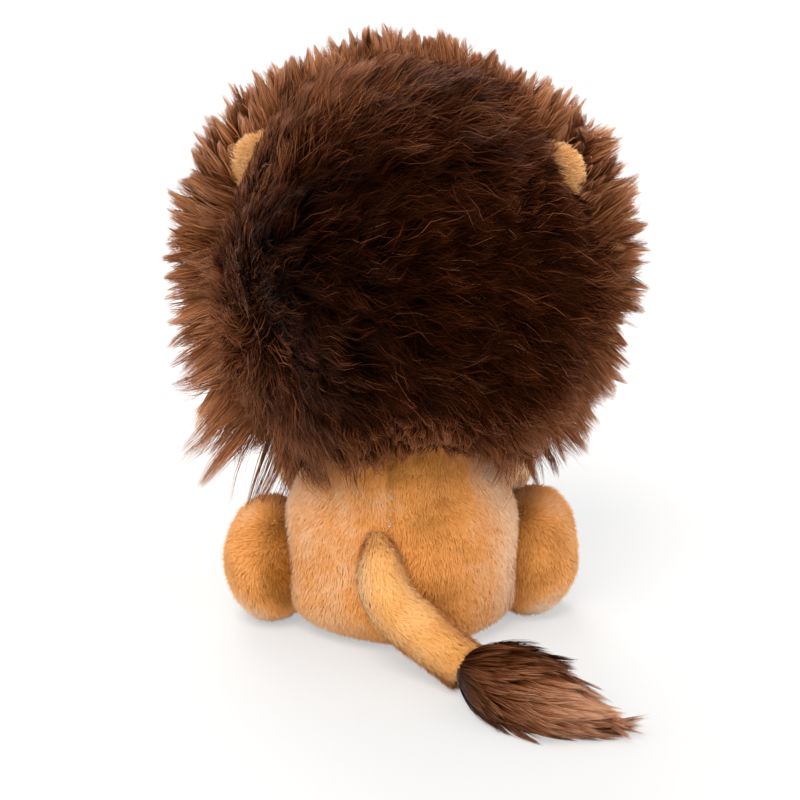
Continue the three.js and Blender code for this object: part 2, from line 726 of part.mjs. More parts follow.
// Limbs, each in a group at the seam that it swings on
for (const [name, limb] of Object.entries(limbs.forelegs)) {
  const group = jointGroup(limb.pivot, lion);
  addSolid(group, `foreleg_${name}`, limb.skin, FINISHES.tanPlush);
  addSolid(group, `foreleg_stuffing_${name}`, limb.stuffing, FINISHES.stuffing);
}
for (const [name, limb] of Object.entries(limbs.hindLegs)) {
  const group = jointGroup(limb.pivot, lion);
  addSolid(group, `hind_leg_${name}`, limb.skin, FINISHES.tanPlush);
  addSolid(group, `hind_leg_stuffing_${name}`, limb.stuffing, FINISHES.stuffing);
  addSolid(group, `sole_pad_${name}`, limb.pad, FINISHES.creamPlush);
}

// Tail and tuft
const tailPieces = tail();
const tailGroup = jointGroup(tailPivot, lion);
addSolid(tailGroup, 'tail_sleeve', tailPieces.skin, FINISHES.tailPlush);
addSolid(tailGroup, 'tail_stuffing', tailPieces.stuffing, FINISHES.stuffing);
const tuftGroup = jointGroup(tuftPivot, tailGroup);
addSolid(tuftGroup, 'tail_tuft', tuft(), FINISHES.tuftPile);

// Head: skin with an open neck and two shank holes, and its stuffing
const headGroup = jointGroup(neckPivot, lion);
const neckCut = below(NECK_PLANE);
let shankHoles = null;
let washerPockets = null;
const eyeSpots = {};
for (const [name, side] of Object.entries(SIDES)) {
  const spot = faceSpot(side * EYE_TURN, EYE_LIFT);
  eyeSpots[name] = spot;
  const shankEnd = -EYE_SHANK_LENGTH;
  const hole = rod(spot.at, spot.normal, shankEnd, EYE_RADIUS, EYE_SHANK_RADIUS + SEAM_GAP);
  const pocketRadius = EYE_WASHER_RADIUS + SEAM_GAP;
  const pocket = rod(spot.at, spot.normal, shankEnd - SEAM_GAP, -CLOTH, pocketRadius);
  shankHoles = shankHoles ? shankHoles.add(hole) : hole;
  washerPockets = washerPockets ? washerPockets.add(pocket) : pocket;
}
addSolid(headGroup, 'head_skin', headForm(0)
  .subtract(headForm(-CLOTH))
  .subtract(neckCut)
  .subtract(shankHoles)
  .subtract(washerPockets), FINISHES.tanPlush);
addSolid(headGroup, 'head_stuffing', headForm(-CLOTH - SEAM_GAP)
  .subtract(neckCut)
  .subtract(washerPockets), FINISHES.stuffing);

// Mane: the hood over the back of the head and the ruff round the face
const collar = rod(neckPivot, UP, -NECK_PLANE, neckRise, MANE_COLLAR_RADIUS);
function maneForm(centre, side, rear, crown) {
  const axes = headAxes.clone().add(new THREE.Vector3(side, rear, crown));
  let mane = ellipsoid(centre, axes, HEAD_SEGMENTS, HEAD_RINGS)
    .subtract(headForm(SEAM_GAP))
    .subtract(below(MANE_HEM_HEIGHT))
    .subtract(collar);
  for (const earSide of Object.values(SIDES)) {
    mane = mane
      .subtract(earForm(earSide, 1, 0, SEAM_GAP))
      .subtract(earForm(earSide, EAR_LINING_SHARE, EAR_LINING_RISE, SEAM_GAP));
  }
  return mane;
}
const hoodCentre = headCentre.clone().addScaledVector(UP, -HOOD_DROP);
const ruffCentre = headCentre.clone().addScaledVector(UP, -RUFF_DROP);
addSolid(headGroup, 'mane_hood', maneForm(hoodCentre, HOOD_SIDE, HOOD_REAR, HOOD_CROWN)
  .intersect(between(-MANE_PARTING_FORWARD, OVERRUN)), FINISHES.hoodPile);
addSolid(headGroup, 'mane_ruff', maneForm(ruffCentre, RUFF_SIDE, RUFF_REAR, RUFF_CROWN)
  .intersect(between(-RUFF_FRONT_FORWARD, -MANE_PARTING_FORWARD - SEAM_GAP)), FINISHES.ruffPile);

// Ears with their linings
for (const [name, side] of Object.entries(SIDES)) {
  const ear = earForm(side, 1, 0, 0).subtract(headForm(SEAM_GAP));
  const lining = earForm(side, EAR_LINING_SHARE, EAR_LINING_RISE, 0)
    .subtract(earForm(side, 1, 0, SEAM_GAP))
    .subtract(headForm(SEAM_GAP))
    .subtract(between(-MANE_PARTING_FORWARD, OVERRUN));
  addSolid(headGroup, `ear_${name}`, ear, FINISHES.tanPlush);
  addSolid(headGroup, `ear_lining_${name}`, lining, FINISHES.creamPlush);
}

// Muzzle, chin, nose and the thread of the mouth
const groove = mouthThread(MOUTH_THREAD_RADIUS + SEAM_GAP);
const chinCentre = new THREE.Vector3(0, faceFront(CHIN_DROP), headCentre.z - CHIN_DROP);
const chinAxes = new THREE.Vector3(CHIN_HALF_WIDTH, CHIN_DEPTH, CHIN_HALF_HEIGHT);
const noseCentre = new THREE.Vector3(
  0,
  faceFront(MUZZLE_DROP) - MUZZLE_LOBE_DEPTH * NOSE_STANDOFF_SHARE,
  headCentre.z - NOSE_DROP,
);
const noseAxes = new THREE.Vector3(NOSE_HALF_WIDTH, NOSE_DEPTH, NOSE_HALF_HEIGHT);
const noseForm = (margin) => ellipsoid(
  noseCentre,
  noseAxes.clone().addScalar(margin),
  SMALL_SEGMENTS,
  SMALL_RINGS,
);
addSolid(headGroup, 'muzzle', muzzleForm(0)
  .subtract(headForm(SEAM_GAP))
  .subtract(groove), FINISHES.creamPlush);
addSolid(headGroup, 'chin', ellipsoid(chinCentre, chinAxes, SMALL_SEGMENTS, SMALL_RINGS)
  .subtract(headForm(SEAM_GAP))
  .subtract(muzzleForm(SEAM_GAP))
  .subtract(groove), FINISHES.creamPlush);
addSolid(headGroup, 'nose', noseForm(0)
  .subtract(muzzleForm(SEAM_GAP))
  .subtract(headForm(SEAM_GAP)), FINISHES.satin);
addSolid(headGroup, 'mouth_stitch', mouthThread(MOUTH_THREAD_RADIUS)
  .subtract(noseForm(SEAM_GAP)), FINISHES.thread);

// Eyes outside and their washers inside
for (const [name, spot] of Object.entries(eyeSpots)) {
  const seat = spot.at.clone().addScaledVector(spot.normal, SEAM_GAP);
  const lock = spot.at.clone().addScaledVector(spot.normal, -CLOTH - SEAM_GAP);
  addPlaced(headGroup, `eye_${name}`, eyeGeometry(), seat, spot.normal, FINISHES.eyeGloss);
  addPlaced(headGroup, `eye_washer_${name}`, washerGeometry(), lock, spot.normal, FINISHES.washer);
}

export default lion;
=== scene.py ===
"""A seated plush lion with a deep two-toned mane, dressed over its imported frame."""

import logging
import math
from collections.abc import Callable, Sequence
from dataclasses import dataclass, replace
from enum import Enum

import bpy
import numpy as np
from mathutils import Matrix, Vector, kdtree


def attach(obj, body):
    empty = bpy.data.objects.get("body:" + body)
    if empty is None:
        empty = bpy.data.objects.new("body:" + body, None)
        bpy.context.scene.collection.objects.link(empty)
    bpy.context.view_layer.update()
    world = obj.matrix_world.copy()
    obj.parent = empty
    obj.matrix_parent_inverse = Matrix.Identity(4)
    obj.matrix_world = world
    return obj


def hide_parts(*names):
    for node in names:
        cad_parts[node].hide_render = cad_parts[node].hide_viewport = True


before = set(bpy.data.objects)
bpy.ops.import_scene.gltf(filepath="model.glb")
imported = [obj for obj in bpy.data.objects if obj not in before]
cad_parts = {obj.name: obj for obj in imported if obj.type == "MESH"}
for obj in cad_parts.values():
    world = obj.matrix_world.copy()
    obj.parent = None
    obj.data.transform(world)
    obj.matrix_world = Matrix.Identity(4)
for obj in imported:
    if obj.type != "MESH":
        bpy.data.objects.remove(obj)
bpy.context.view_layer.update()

Array = np.ndarray
Colour = tuple[float, float, float, float]
Stops = Sequence[tuple[float, str]]
Triple = tuple[float, float, float]
Skin = tuple[Array, list]

MM = 0.001
PILE_MAP = "OFBake"
PIECE_TRIANGLES = 190_000
FLOOR_CLEARANCE = 0.3
COVER_CLEARANCE = 0.5
SIDE_REACH = 98.4
SIDE_FADE = 6
PELT_INSET = 0.6
FIBRE_INSET = 2.6
SEAT_INSET = 2.2
EAR_PLACE = 64
log = logging.getLogger("plush_lion")


class Side(Enum):
    """The toy's own sides, with the sign of their X."""

    LEFT = 1
    RIGHT = -1

    @property
    def word(self) -> str:
        """The side's name as the pieces use it."""
        return self.name.lower()


def linear(code: str) -> Colour:
    """Turns a screen colour into the linear one that the shaders take.

    Args:
        code: Six hexadecimal digits, red first.

    Returns:
        Red, green, blue and an alpha of 1.
    """
    parts = [int(code[i : i + 2], 16) / 255 for i in (0, 2, 4)]
    red, green, blue = (
        p / 12.92 if p <= 0.04045 else ((p + 0.055) / 1.055) ** 2.4 for p in parts
    )
    return red, green, blue, 1.0


def unit(vectors: Array) -> Array:
    """Scales vectors to length 1."""
    return vectors / np.maximum(np.linalg.norm(vectors, axis=-1, keepdims=True), 1e-9)


def dot(a: Array, b: Array) -> Array:
    """Dot product along the last axis, which is kept."""
    return (a * b).sum(axis=-1, keepdims=True)


def smooth_step(values: Array, low: float, high: float) -> Array:
    """Rises smoothly from 0 at low to 1 at high."""
    share = np.clip((values - low) / (high - low), 0, 1)
    return share * share * (3 - 2 * share)


def smooth_line(points: Array, count: int) -> Array:
    """Runs a smooth line through points, evenly spaced along its length.

    Args:
        points: The places that the line passes, one row each.
        count: How many rows to return.

    Returns:
        The line's points.
    """
    ends = [2 * points[:1] - points[1:2], points, 2 * points[-1:] - points[-2:-1]]
    padded = np.vstack(ends)
    chords = np.linalg.norm(np.diff(padded, axis=0), axis=1)
    knots = np.concatenate([[0], np.cumsum(np.sqrt(np.maximum(chords, 1e-9)))])
    fine = []
    for i in range(1, len(padded) - 2):
        t = np.linspace(knots[i], knots[i + 1], 24, endpoint=False)[:, None]
        row = [padded[i - 1 + k] for k in range(4)]
        at = knots[i - 1 : i + 3]
        for reach in (1, 2, 3):
            row = [
                ((at[k + reach] - t) * row[k] + (t - at[k]) * row[k + 1])
                / (at[k + reach] - at[k])
                for k in range(4 - reach)
            ]
        fine.append(row[0])
    line = np.vstack([*fine, points[-1:]])
    along = np.concatenate([[0], np.cumsum(np.linalg.norm(np.diff(line, axis=0), axis=1))])
    steps = np.linspace(0, along[-1], count)
    return np.stack([np.interp(steps, along, line[:, k]) for k in range(line.shape[1])], axis=1)


@dataclass(frozen=True)
class Drift:
    """Smooth seeded unevenness over space.

    Attributes:
        seed: Seed of the random waves.
        reach: Typical size of a swell, in mm.
        terms: How many waves are added up.
    """

    seed: int
    reach: float
    terms: int = 14

    def vectors(self, points: Array) -> Array:
        """The unevenness at each point as three values, each about -1 to 1."""
        rng = np.random.default_rng(self.seed)
        ways = unit(rng.normal(size=(self.terms, 3)))
        waves = ways * (2 * math.pi / (self.reach * rng.uniform(0.75, 1.7, (self.terms, 1))))
        phases = rng.uniform(0, 2 * math.pi, (3, self.terms))
        angles = points @ waves.T
        sums = [np.sin(angles + phase).sum(axis=1) for phase in phases]
        return np.stack(sums, axis=1) / math.sqrt(self.terms / 2) / 1.6

    def at(self, points: Array) -> Array:
        """One value for each point, about -1 to 1."""
        return self.vectors(points)[:, 0]


class Shader:
    """A node material under construction."""

    def __init__(self, name: str) -> None:
        """Starts a material with a plain Principled shader.

        Args:
            name: The material's name.
        """
        self.material = bpy.data.materials.new(name)
        self.material.use_nodes = True
        self.tree = self.material.node_tree
        self.surface = self.tree.nodes["Principled BSDF"]

    def add(self, kind: str, **values: object) -> bpy.types.Node:
        """Adds a node and sets its properties and inputs.

        Args:
            kind: The node's type, without its common prefix.
            values: Properties by name, or inputs by their names with _ for a space.

        Returns:
            The new node.
        """
        node = self.tree.nodes.new("ShaderNode" + kind)
        for key, value in values.items():
            if hasattr(node, key):
                setattr(node, key, value)
            else:
                node.inputs[key.replace("_", " ")].default_value = value
        return node

    def join(self, source: bpy.types.NodeSocket, target: bpy.types.NodeSocket) -> None:
        """Links an output to an input."""
        self.tree.links.new(source, target)

    def ramp(self, factor: bpy.types.NodeSocket, stops: Stops) -> bpy.types.NodeSocket:
        """Colours a factor by stops of (place, screen colour) and returns the colour."""
        node = self.add("ValToRGB")
        elements = node.color_ramp.elements
        for i, (place, code) in enumerate(stops):
            element = elements[i] if i < 2 else elements.new(place)
            element.position = place
            element.color = linear(code)
        self.join(factor, node.inputs["Fac"])
        return node.outputs["Color"]

    def part(self, factor: bpy.types.NodeSocket, low: float, high: float) -> bpy.types.NodeSocket:
        """Stretches the part of a factor between two values over 0 to 1."""
        node = self.add("MapRange", From_Min=low, From_Max=high)
        self.join(factor, node.inputs["Value"])
        return node.outputs["Result"]

    def mix(
        self,
        factor: bpy.types.NodeSocket,
        first: bpy.types.NodeSocket,
        second: bpy.types.NodeSocket,
    ) -> bpy.types.NodeSocket:
        """Mixes two colours by a factor and returns the result."""
        node = self.add("Mix", data_type="RGBA")
        self.join(factor, node.inputs[0])
        self.join(first, node.inputs[6])
        self.join(second, node.inputs[7])
        return node.outputs[2]

    def noise(self, size: float, detail: float = 3.0, rough: float = 0.55) -> bpy.types.NodeSocket:
        """Noise over the object's own space, with swells of a size in mm."""
        place = self.add("TexCoord")
        node = self.add("TexNoise", Scale=1 / (size * MM), Detail=detail, Roughness=rough)
        self.join(place.outputs["Object"], node.inputs["Vector"])
        return node.outputs["Fac"]

    def bump(self, height: bpy.types.NodeSocket, strength: float, depth: float) -> None:
        """Raises the surface by a height pattern, with a depth in mm."""
        node = self.add("Bump", Strength=strength, Distance=depth * MM)
        self.join(height, node.inputs["Height"])
        self.join(node.outputs["Normal"], self.surface.inputs["Normal"])

    def paint(self, colour: bpy.types.NodeSocket) -> None:
        """Sets the surface's colour from a socket."""
        self.join(colour, self.surface.inputs["Base Color"])

    def feel(
        self,
        roughness: float,
        gloss: float,
        sheen: float = 0.0,
        tint: str = "ffffff",
        shine: str = "ffffff",
    ) -> None:
        """Sets the constant sockets of the surface."""
        inputs = self.surface.inputs
        inputs["Roughness"].default_value = roughness
        inputs["Specular IOR Level"].default_value = gloss
        inputs["Specular Tint"].default_value = linear(shine)
        inputs["Sheen Weight"].default_value = sheen
        inputs["Sheen Roughness"].default_value = 0.5
        inputs["Sheen Tint"].default_value = linear(tint)


@dataclass(frozen=True)
class Finish:
    """What a piece is made of.

    Attributes:
        name: The material's name.
        slot: The record's material slot; not used.
    """

    name: str
    slot: str

    def dress(self, shader: Shader) -> None:
        """Gives a plain shader the finish's colours and feel."""
        raise NotImplementedError

    def make(self) -> bpy.types.Material:
        """Builds the material."""
        shader = Shader(self.name)
        self.dress(shader)
        return shader.material


@dataclass(frozen=True)
class PileFinish(Finish):
    """Fibres coloured from root to tip, from a deep shade over a middle one to a pale one.

    Attributes:
        deep: Stops from root to tip of the deepest fibres.
        middle: Stops from root to tip of the fibres between.
        pale: Stops from root to tip of the palest fibres.
        roughness: Roughness of the fibres.
        gloss: Specular level of the fibres.
        sheen: Weight of the soft bright edge.
        tint: Colour of that edge.
        shine: Colour of the fibres' gloss.
    """

    deep: Stops
    middle: Stops
    pale: Stops
    roughness: float = 0.6
    gloss: float = 0.3
    sheen: float = 0.0
    tint: str = "ffffff"
    shine: str = "ffffff"

    def dress(self, shader: Shader) -> None:
        """Reads the fibres' shade and length from the pile's map."""
        place = shader.add("UVMap", uv_map=PILE_MAP)
        split = shader.add("SeparateXYZ")
        shader.join(place.outputs["UV"], split.inputs["Vector"])
        deep, middle, pale = (
            shader.ramp(split.outputs["Y"], stops) for stops in (self.deep, self.middle, self.pale)
        )
        low = shader.part(split.outputs["X"], 0.0, 0.5)
        high = shader.part(split.outputs["X"], 0.5, 1.0)
        shader.paint(shader.mix(high, shader.mix(low, deep, middle), pale))
        shader.feel(self.roughness, self.gloss, self.sheen, self.tint, self.shine)


@dataclass(frozen=True)
class BackingFinish(Finish):
    """Knitted backing cloth, mottled between two colours, as it shows between fibres.

    Attributes:
        stops: Stops from the darkest to the palest mottle.
        mottle: Size of the mottle, in mm.
        grain: Size of the cloth's grain, in mm.
        roughness: Roughness of the cloth.
        depth: Depth of the grain, in mm.
        sheen: Weight of the soft bright edge.
    """

    stops: Stops
    mottle: float = 9.0
    grain: float = 0.9
    roughness: float = 0.95
    depth: float = 0.5
    sheen: float = 0.15

    def dress(self, shader: Shader) -> None:
        """Mottles the colour and raises the grain."""
        shader.paint(shader.ramp(shader.noise(self.mottle, 4.0), self.stops))
        shader.bump(shader.noise(self.grain, 2.0), 0.6, self.depth)
        shader.feel(self.roughness, 0.15, self.sheen)


@dataclass(frozen=True)
class StitchedFinish(Finish):
    """Thread or satin stitch: fine ribs along one direction, with a silky sheen.

    Attributes:
        stops: Stops from the groove to the crown of a thread; the darker groove is painted shade
            and the paler crown a painted highlight.
        pitch: Distance from thread to thread, in mm.
        roughness: Roughness of the thread.
    """

    stops: Stops
    pitch: float
    roughness: float = 0.45

    def dress(self, shader: Shader) -> None:
        """Colours the ribs, with painted shade in their grooves and a painted highlight on their
        crowns, and raises them.
        """
        place = shader.add("TexCoord")
        scale = 0.314 / (self.pitch * MM)
        wave = shader.add("TexWave", bands_direction="X", Scale=scale, Distortion=1.5, Detail=2.0)
        shader.join(place.outputs["Object"], wave.inputs["Vector"])
        shader.paint(shader.ramp(wave.outputs["Fac"], self.stops))
        shader.bump(wave.outputs["Fac"], 0.7, 0.25)
        shader.feel(self.roughness, 0.45, 0.2)


@dataclass(frozen=True)
class PlasticFinish(Finish):
    """Moulded plastic, glossy for an eye or matt for a washer.

    Attributes:
        stops: Stops of a faint cloudiness.
        roughness: Roughness of the moulding.
        coat: Weight of the clear coat.
        grain: Size of the moulding's grain, in mm.
    """

    stops: Stops
    roughness: float
    coat: float
    grain: float

    def dress(self, shader: Shader) -> None:
        """Clouds the colour a little and adds the coat."""
        shader.paint(shader.ramp(shader.noise(self.grain * 6), self.stops))
        shader.bump(shader.noise(self.grain), 0.08, 0.02)
        shader.feel(self.roughness, 0.25)
        shader.surface.inputs["Coat Weight"].default_value = self.coat


# The hood's roots are near-black and its tips paler, partly the fur's own darker base and partly
# painted shade in the gaps between locks and a painted glow where light passes through the tips.
HOOD_PILE = PileFinish(
    "hood_pile",
    "hood_pile",
    ((0, "020100"), (0.5, "090200"), (0.85, "180803"), (1, "2c1206")),
    ((0, "080301"), (0.4, "220c04"), (0.8, "4a200c"), (1, "6c381c")),
    ((0, "1a0a04"), (0.35, "502611"), (0.75, "8e5636"), (1, "bc8464")),
    roughness=0.5,
    gloss=0.06,
    shine="d87c44",
)
# The ruff's roots are darker, partly the fur's own darker base and partly painted shade between its
# locks.
RUFF_PILE = PileFinish(
    "ruff_pile",
    "ruff_pile",
    ((0, "0e0502"), (0.4, "331607"), (0.8, "5e3018"), (1, "7c4a2c")),
    ((0, "261008"), (0.35, "643418"), (0.75, "985c38"), (1, "bc805c")),
    ((0, "50260f"), (0.35, "9a5c36"), (0.75, "ce9068"), (1, "f2c2a2")),
    roughness=0.55,
    gloss=0.12,
    shine="e0a884",
)
TUFT_PILE = PileFinish(
    "tuft_pile",
    "tuft_pile",
    ((0, "160702"), (0.4, "301407"), (0.8, "4e2710"), (1, "66381e")),
    ((0, "2c1206"), (0.4, "582b12"), (0.75, "82492a"), (1, "a26a4a")),
    ((0, "4a220e"), (0.4, "8c5230"), (0.75, "b87e5c"), (1, "dcac8c")),
    roughness=0.55,
    gloss=0.2,
    shine="e8c0a0",
)
TAN_PILE = PileFinish(
    "tan_pile",
    "tan_plush",
    ((0, "703c0c"), (0.5, "985818"), (1, "b4722a")),
    ((0, "dc8c3e"), (0.5, "ee9f50"), (1, "f8b770")),
    ((0, "eeb884"), (0.5, "fad0a6"), (1, "fee3c8")),
    roughness=0.9,
    gloss=0.05,
    sheen=0.7,
    tint="ffd4ac",
)
TAIL_PILE = PileFinish(
    "tail_pile",
    "tail_plush",
    ((0, "cc8430"), (0.5, "dc9440"), (1, "e8a656")),
    ((0, "eaa656"), (0.5, "f6b96c"), (1, "fccc90")),
    ((0, "f2c48c"), (0.5, "f8d2a4"), (1, "fde2c0")),
    roughness=0.9,
    gloss=0.05,
    sheen=0.5,
    tint="ffe2bd",
)
CREAM_PILE = PileFinish(
    "cream_pile",
    "cream_plush",
    ((0, "d2b08e"), (0.5, "e8ceb0"), (1, "f3e2cc")),
    ((0, "dec0a0"), (0.5, "f0dcc2"), (1, "f8ecdc")),
    ((0, "e8d0b2"), (0.5, "f6e8d4"), (1, "fcf4ea")),
    roughness=0.85,
    gloss=0.12,
    sheen=0.3,
)
TAN_BACKING = BackingFinish("tan_backing", "tan_plush", ((0.3, "cc8a44"), (0.7, "e6a458")))
TAIL_BACKING = BackingFinish("tail_backing", "tail_plush", ((0.3, "dc9e54"), (0.7, "f0be78")))
CREAM_BACKING = BackingFinish("cream_backing", "cream_plush", ((0.3, "d8bc9a"), (0.7, "efdcc2")))
HOOD_BACKING = BackingFinish("hood_backing", "hood_pile", ((0.3, "0c0503"), (0.7, "1f0e08")))
RUFF_BACKING = BackingFinish("ruff_backing", "ruff_pile", ((0.3, "2a150c"), (0.7, "4a2817")))
TUFT_BACKING = BackingFinish("tuft_backing", "tuft_pile", ((0.3, "2a150c"), (0.7, "4a2817")))
STUFFING = BackingFinish(
    "fibre_stuffing",
    "stuffing",
    ((0.3, "e6e1d6"), (0.7, "faf8f2")),
    mottle=5.0,
    grain=2.5,
    depth=1.5,
)
COTTON = BackingFinish(
    "cotton_bag",
    "cotton_bag",
    ((0.3, "cfc5ae"), (0.7, "e2dac8")),
    mottle=12.0,
    grain=0.6,
    depth=0.2,
    sheen=0.05,
)
# Both threads are painted darker in their grooves as shade and paler on their crowns as highlight.
NOSE_SATIN = StitchedFinish("nose_satin", "nose_satin", ((0, "1d0f0a"), (1, "4a2a1e")), 0.55)
MOUTH_THREAD = StitchedFinish("mouth_thread", "mouth_thread", ((0, "150a06"), (1, "3a2016")), 0.5)
EYE_PLASTIC = PlasticFinish(
    "eye_plastic", "eye_plastic", ((0.3, "0a0504"), (0.7, "160b07")), 0.08, 0.25, 1.0
)
WASHER_PLASTIC = PlasticFinish(
    "washer_plastic", "washer_plastic", ((0.3, "dcd8ce"), (0.7, "e9e6dd")), 0.5, 0.0, 1.5
)

class Workshop:
    """Keeps one material for each finish and turns arrays into pieces."""

    def __init__(self) -> None:
        """Starts with no materials made."""
        self.made: dict[str, bpy.types.Material] = {}

    def material(self, finish: Finish) -> bpy.types.Material:
        """The finish's material, made once."""
        if finish.name not in self.made:
            self.made[finish.name] = finish.make()
        return self.made[finish.name]

    def piece(
        self,
        name: str,
        skin: Skin,
        finish: Finish,
        body: str,
        replaces: Sequence[str] = (),
    ) -> bpy.types.Object:
        """Makes a smooth piece that rides on a body.

        Args:
            name: The piece's name.
            skin: Its points in mm and its faces.
            finish: What it is made of.
            body: The body that it moves with.
            replaces: The frame's nodes that it stands for.

        Returns:
            The new object.
        """
        points, faces = skin
        mesh = bpy.data.meshes.new(name)
        mesh.from_pydata((points * MM).tolist(), [], faces)
        mesh.polygons.foreach_set("use_smooth", [True] * len(mesh.polygons))
        mesh.materials.append(self.material(finish))
        mesh.update()
        thing = bpy.data.objects.new(name, mesh)
        bpy.context.scene.collection.objects.link(thing)
        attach(thing, body)
        if replaces:
            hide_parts(*replaces)
        log.info("%s: %d points", name, len(points))
        return thing


WORKSHOP = Workshop()


def loft(rings: Array) -> Skin:
    """Joins rings of points into a closed skin, with a point at the middle of each end.

    Args:
        rings: Points by ring and by place round it.

    Returns:
        The points and the faces.
    """
    count, around = rings.shape[:2]
    points = np.vstack([rings.reshape(-1, 3), rings[:1].mean(axis=1), rings[-1:].mean(axis=1)])
    faces = []
    for i in range(count - 1):
        for j in range(around):
            k = (j + 1) % around
            n = i + 1
            faces.append((i * around + j, i * around + k, n * around + k, n * around + j))
    start, last = count * around, (count - 1) * around
    for j in range(around):
        k = (j + 1) % around
        faces.append((start, k, j))
        faces.append((start + 1, last + j, last + k))
    return points, faces


def turned(profile: Array, scale: Triple, around: int) -> Skin:
    """Turns a profile of (radius, height) round Z, from bottom to top, with a scale."""
    angles = np.linspace(0, 2 * math.pi, around, endpoint=False)
    ring = np.stack([np.cos(angles), np.sin(angles)], axis=1)
    rings = np.zeros((len(profile), around, 3))
    rings[:, :, :2] = profile[:, None, :1] * ring[None]
    rings[:, :, 2] = profile[:, 1:]
    return loft(rings * np.array(scale))


def ball(centre: Array, axes: Array, around: int = 40, levels: int = 24) -> Skin:
    """A skin in the form of an ellipsoid with its poles along Z."""
    angles = np.linspace(-math.pi / 2, math.pi / 2, levels + 1)[1:-1]
    profile = np.stack([np.cos(angles), np.sin(angles)], axis=1)
    points, faces = turned(profile, (1, 1, 1), around)
    points[-2:] = [[0, 0, -1], [0, 0, 1]]
    return points * axes + centre, faces


@dataclass
class Tube:
    """A stuffed tube of oval rings along a smooth route.

    Attributes:
        stations: Rows of x, y, z, half width along the facing way, half width across it.
        facing: The way that the first half width lies.
        start: Reach of the rounding at the start, in mm.
        end: Reach of the rounding at the end, in mm.
        rings: How many rings it has.
        around: How many points each ring has.
    """

    stations: Array
    facing: Array
    start: float
    end: float
    rings: int = 34
    around: int = 28

    def __post_init__(self) -> None:
        """Works out the line, its tangents and its length."""
        fine = smooth_line(self.stations, 120)
        self.line, self.radii = fine[:, :3], fine[:, 3:]
        self.tangents = unit(np.gradient(self.line, axis=0))
        steps = np.linalg.norm(np.diff(self.line, axis=0), axis=1)
        self.along = np.concatenate([[0], np.cumsum(steps)])

    @staticmethod
    def rounded(distance: float, edge: float, radius: float) -> float:
        """The share of a radius left at a distance from an end with a rounded edge."""
        reach = min(edge, radius)
        if distance >= reach or reach <= 0:
            return 1.0
        return (radius - reach + math.sqrt(max(reach**2 - (reach - distance) ** 2, 0))) / radius

    def skin(self, margin: float = 0.0) -> Skin:
        """The tube's skin, grown or drawn in by a margin."""
        length = self.along[-1]
        shares = (1 - np.cos(np.linspace(0.02, math.pi - 0.02, self.rings))) / 2
        angles = np.linspace(0, 2 * math.pi, self.around, endpoint=False)
        rings = []
        for inset in -margin + (length + 2 * margin) * shares:
            at = np.array([np.interp(inset, self.along, self.line[:, k]) for k in range(3)])
            way = unit(
                np.array([np.interp(inset, self.along, self.tangents[:, k]) for k in range(3)])
            )
            at = at + way * (inset - np.clip(inset, 0, length))
            wide, deep = (np.interp(inset, self.along, self.radii[:, k]) + margin for k in (0, 1))
            trim = self.rounded(inset + margin, self.start + margin, wide) * self.rounded(
                length + margin - inset, self.end + margin, wide
            )
            wide_way = unit(self.facing - way * float(self.facing @ way))
            deep_way = np.cross(way, wide_way)
            rings.append(
                at
                + np.outer(np.cos(angles), wide_way) * wide * trim
                + np.outer(np.sin(angles), deep_way) * deep * trim
            )
        points, faces = loft(np.array(rings))
        ends = self.line[[0, -1]] + self.tangents[[0, -1]] * margin * np.array([[-1], [1]])
        points[-2:] = ends
        return points, faces

    def ways(self, points: Array) -> Array:
        """The route's direction nearest to each point."""
        nearest = np.concatenate(
            [
                ((chunk[:, None] - self.line[None]) ** 2).sum(axis=2).argmin(axis=1)
                for chunk in np.array_split(points, max(1, len(points) // 4000))
            ]
        )
        return self.tangents[nearest]


@dataclass(frozen=True)
class Roots:
    """Where fibres start on a piece.

    Attributes:
        at: Their places, in mm.
        out: The surface's outward way at each.
    """

    at: Array
    out: Array

    def where(self, keep: Array) -> "Roots":
        """Only the roots that a mask keeps."""
        return Roots(self.at[keep], self.out[keep])

    @classmethod
    def over(cls, thing: bpy.types.Object, count: int, seed: int) -> "Roots":
        """Scatters roots evenly over a piece.

        Args:
            thing: The piece, in place.
            count: How many roots.
            seed: Seed of the scatter.

        Returns:
            The roots, in a random order.
        """
        mesh = thing.data
        mesh.calc_loop_triangles()
        corners = np.zeros(len(mesh.loop_triangles) * 3, np.int32)
        mesh.loop_triangles.foreach_get("vertices", corners)
        corners = corners.reshape(-1, 3)
        points = np.zeros(len(mesh.vertices) * 3)
        mesh.vertices.foreach_get("co", points)
        points = points.reshape(-1, 3) / MM
        normals = np.zeros(len(mesh.vertices) * 3, np.float32)
        mesh.vertex_normals.foreach_get("vector", normals)
        normals = normals.reshape(-1, 3).astype(float)
        a, b, c = (points[corners[:, k]] for k in range(3))
        areas = np.linalg.norm(np.cross(b - a, c - a), axis=1)
        rng = np.random.default_rng(seed)
        picked = rng.choice(len(corners), count, p=areas / areas.sum())
        shares = rng.uniform(size=(count, 2))
        folded = shares.sum(axis=1) > 1
        shares[folded] = 1 - shares[folded]
        weights = np.column_stack([1 - shares.sum(axis=1), shares])
        at = (points[corners[picked]] * weights[:, :, None]).sum(axis=1)
        out = unit((normals[corners[picked]] * weights[:, :, None]).sum(axis=1))
        return cls(at, out)


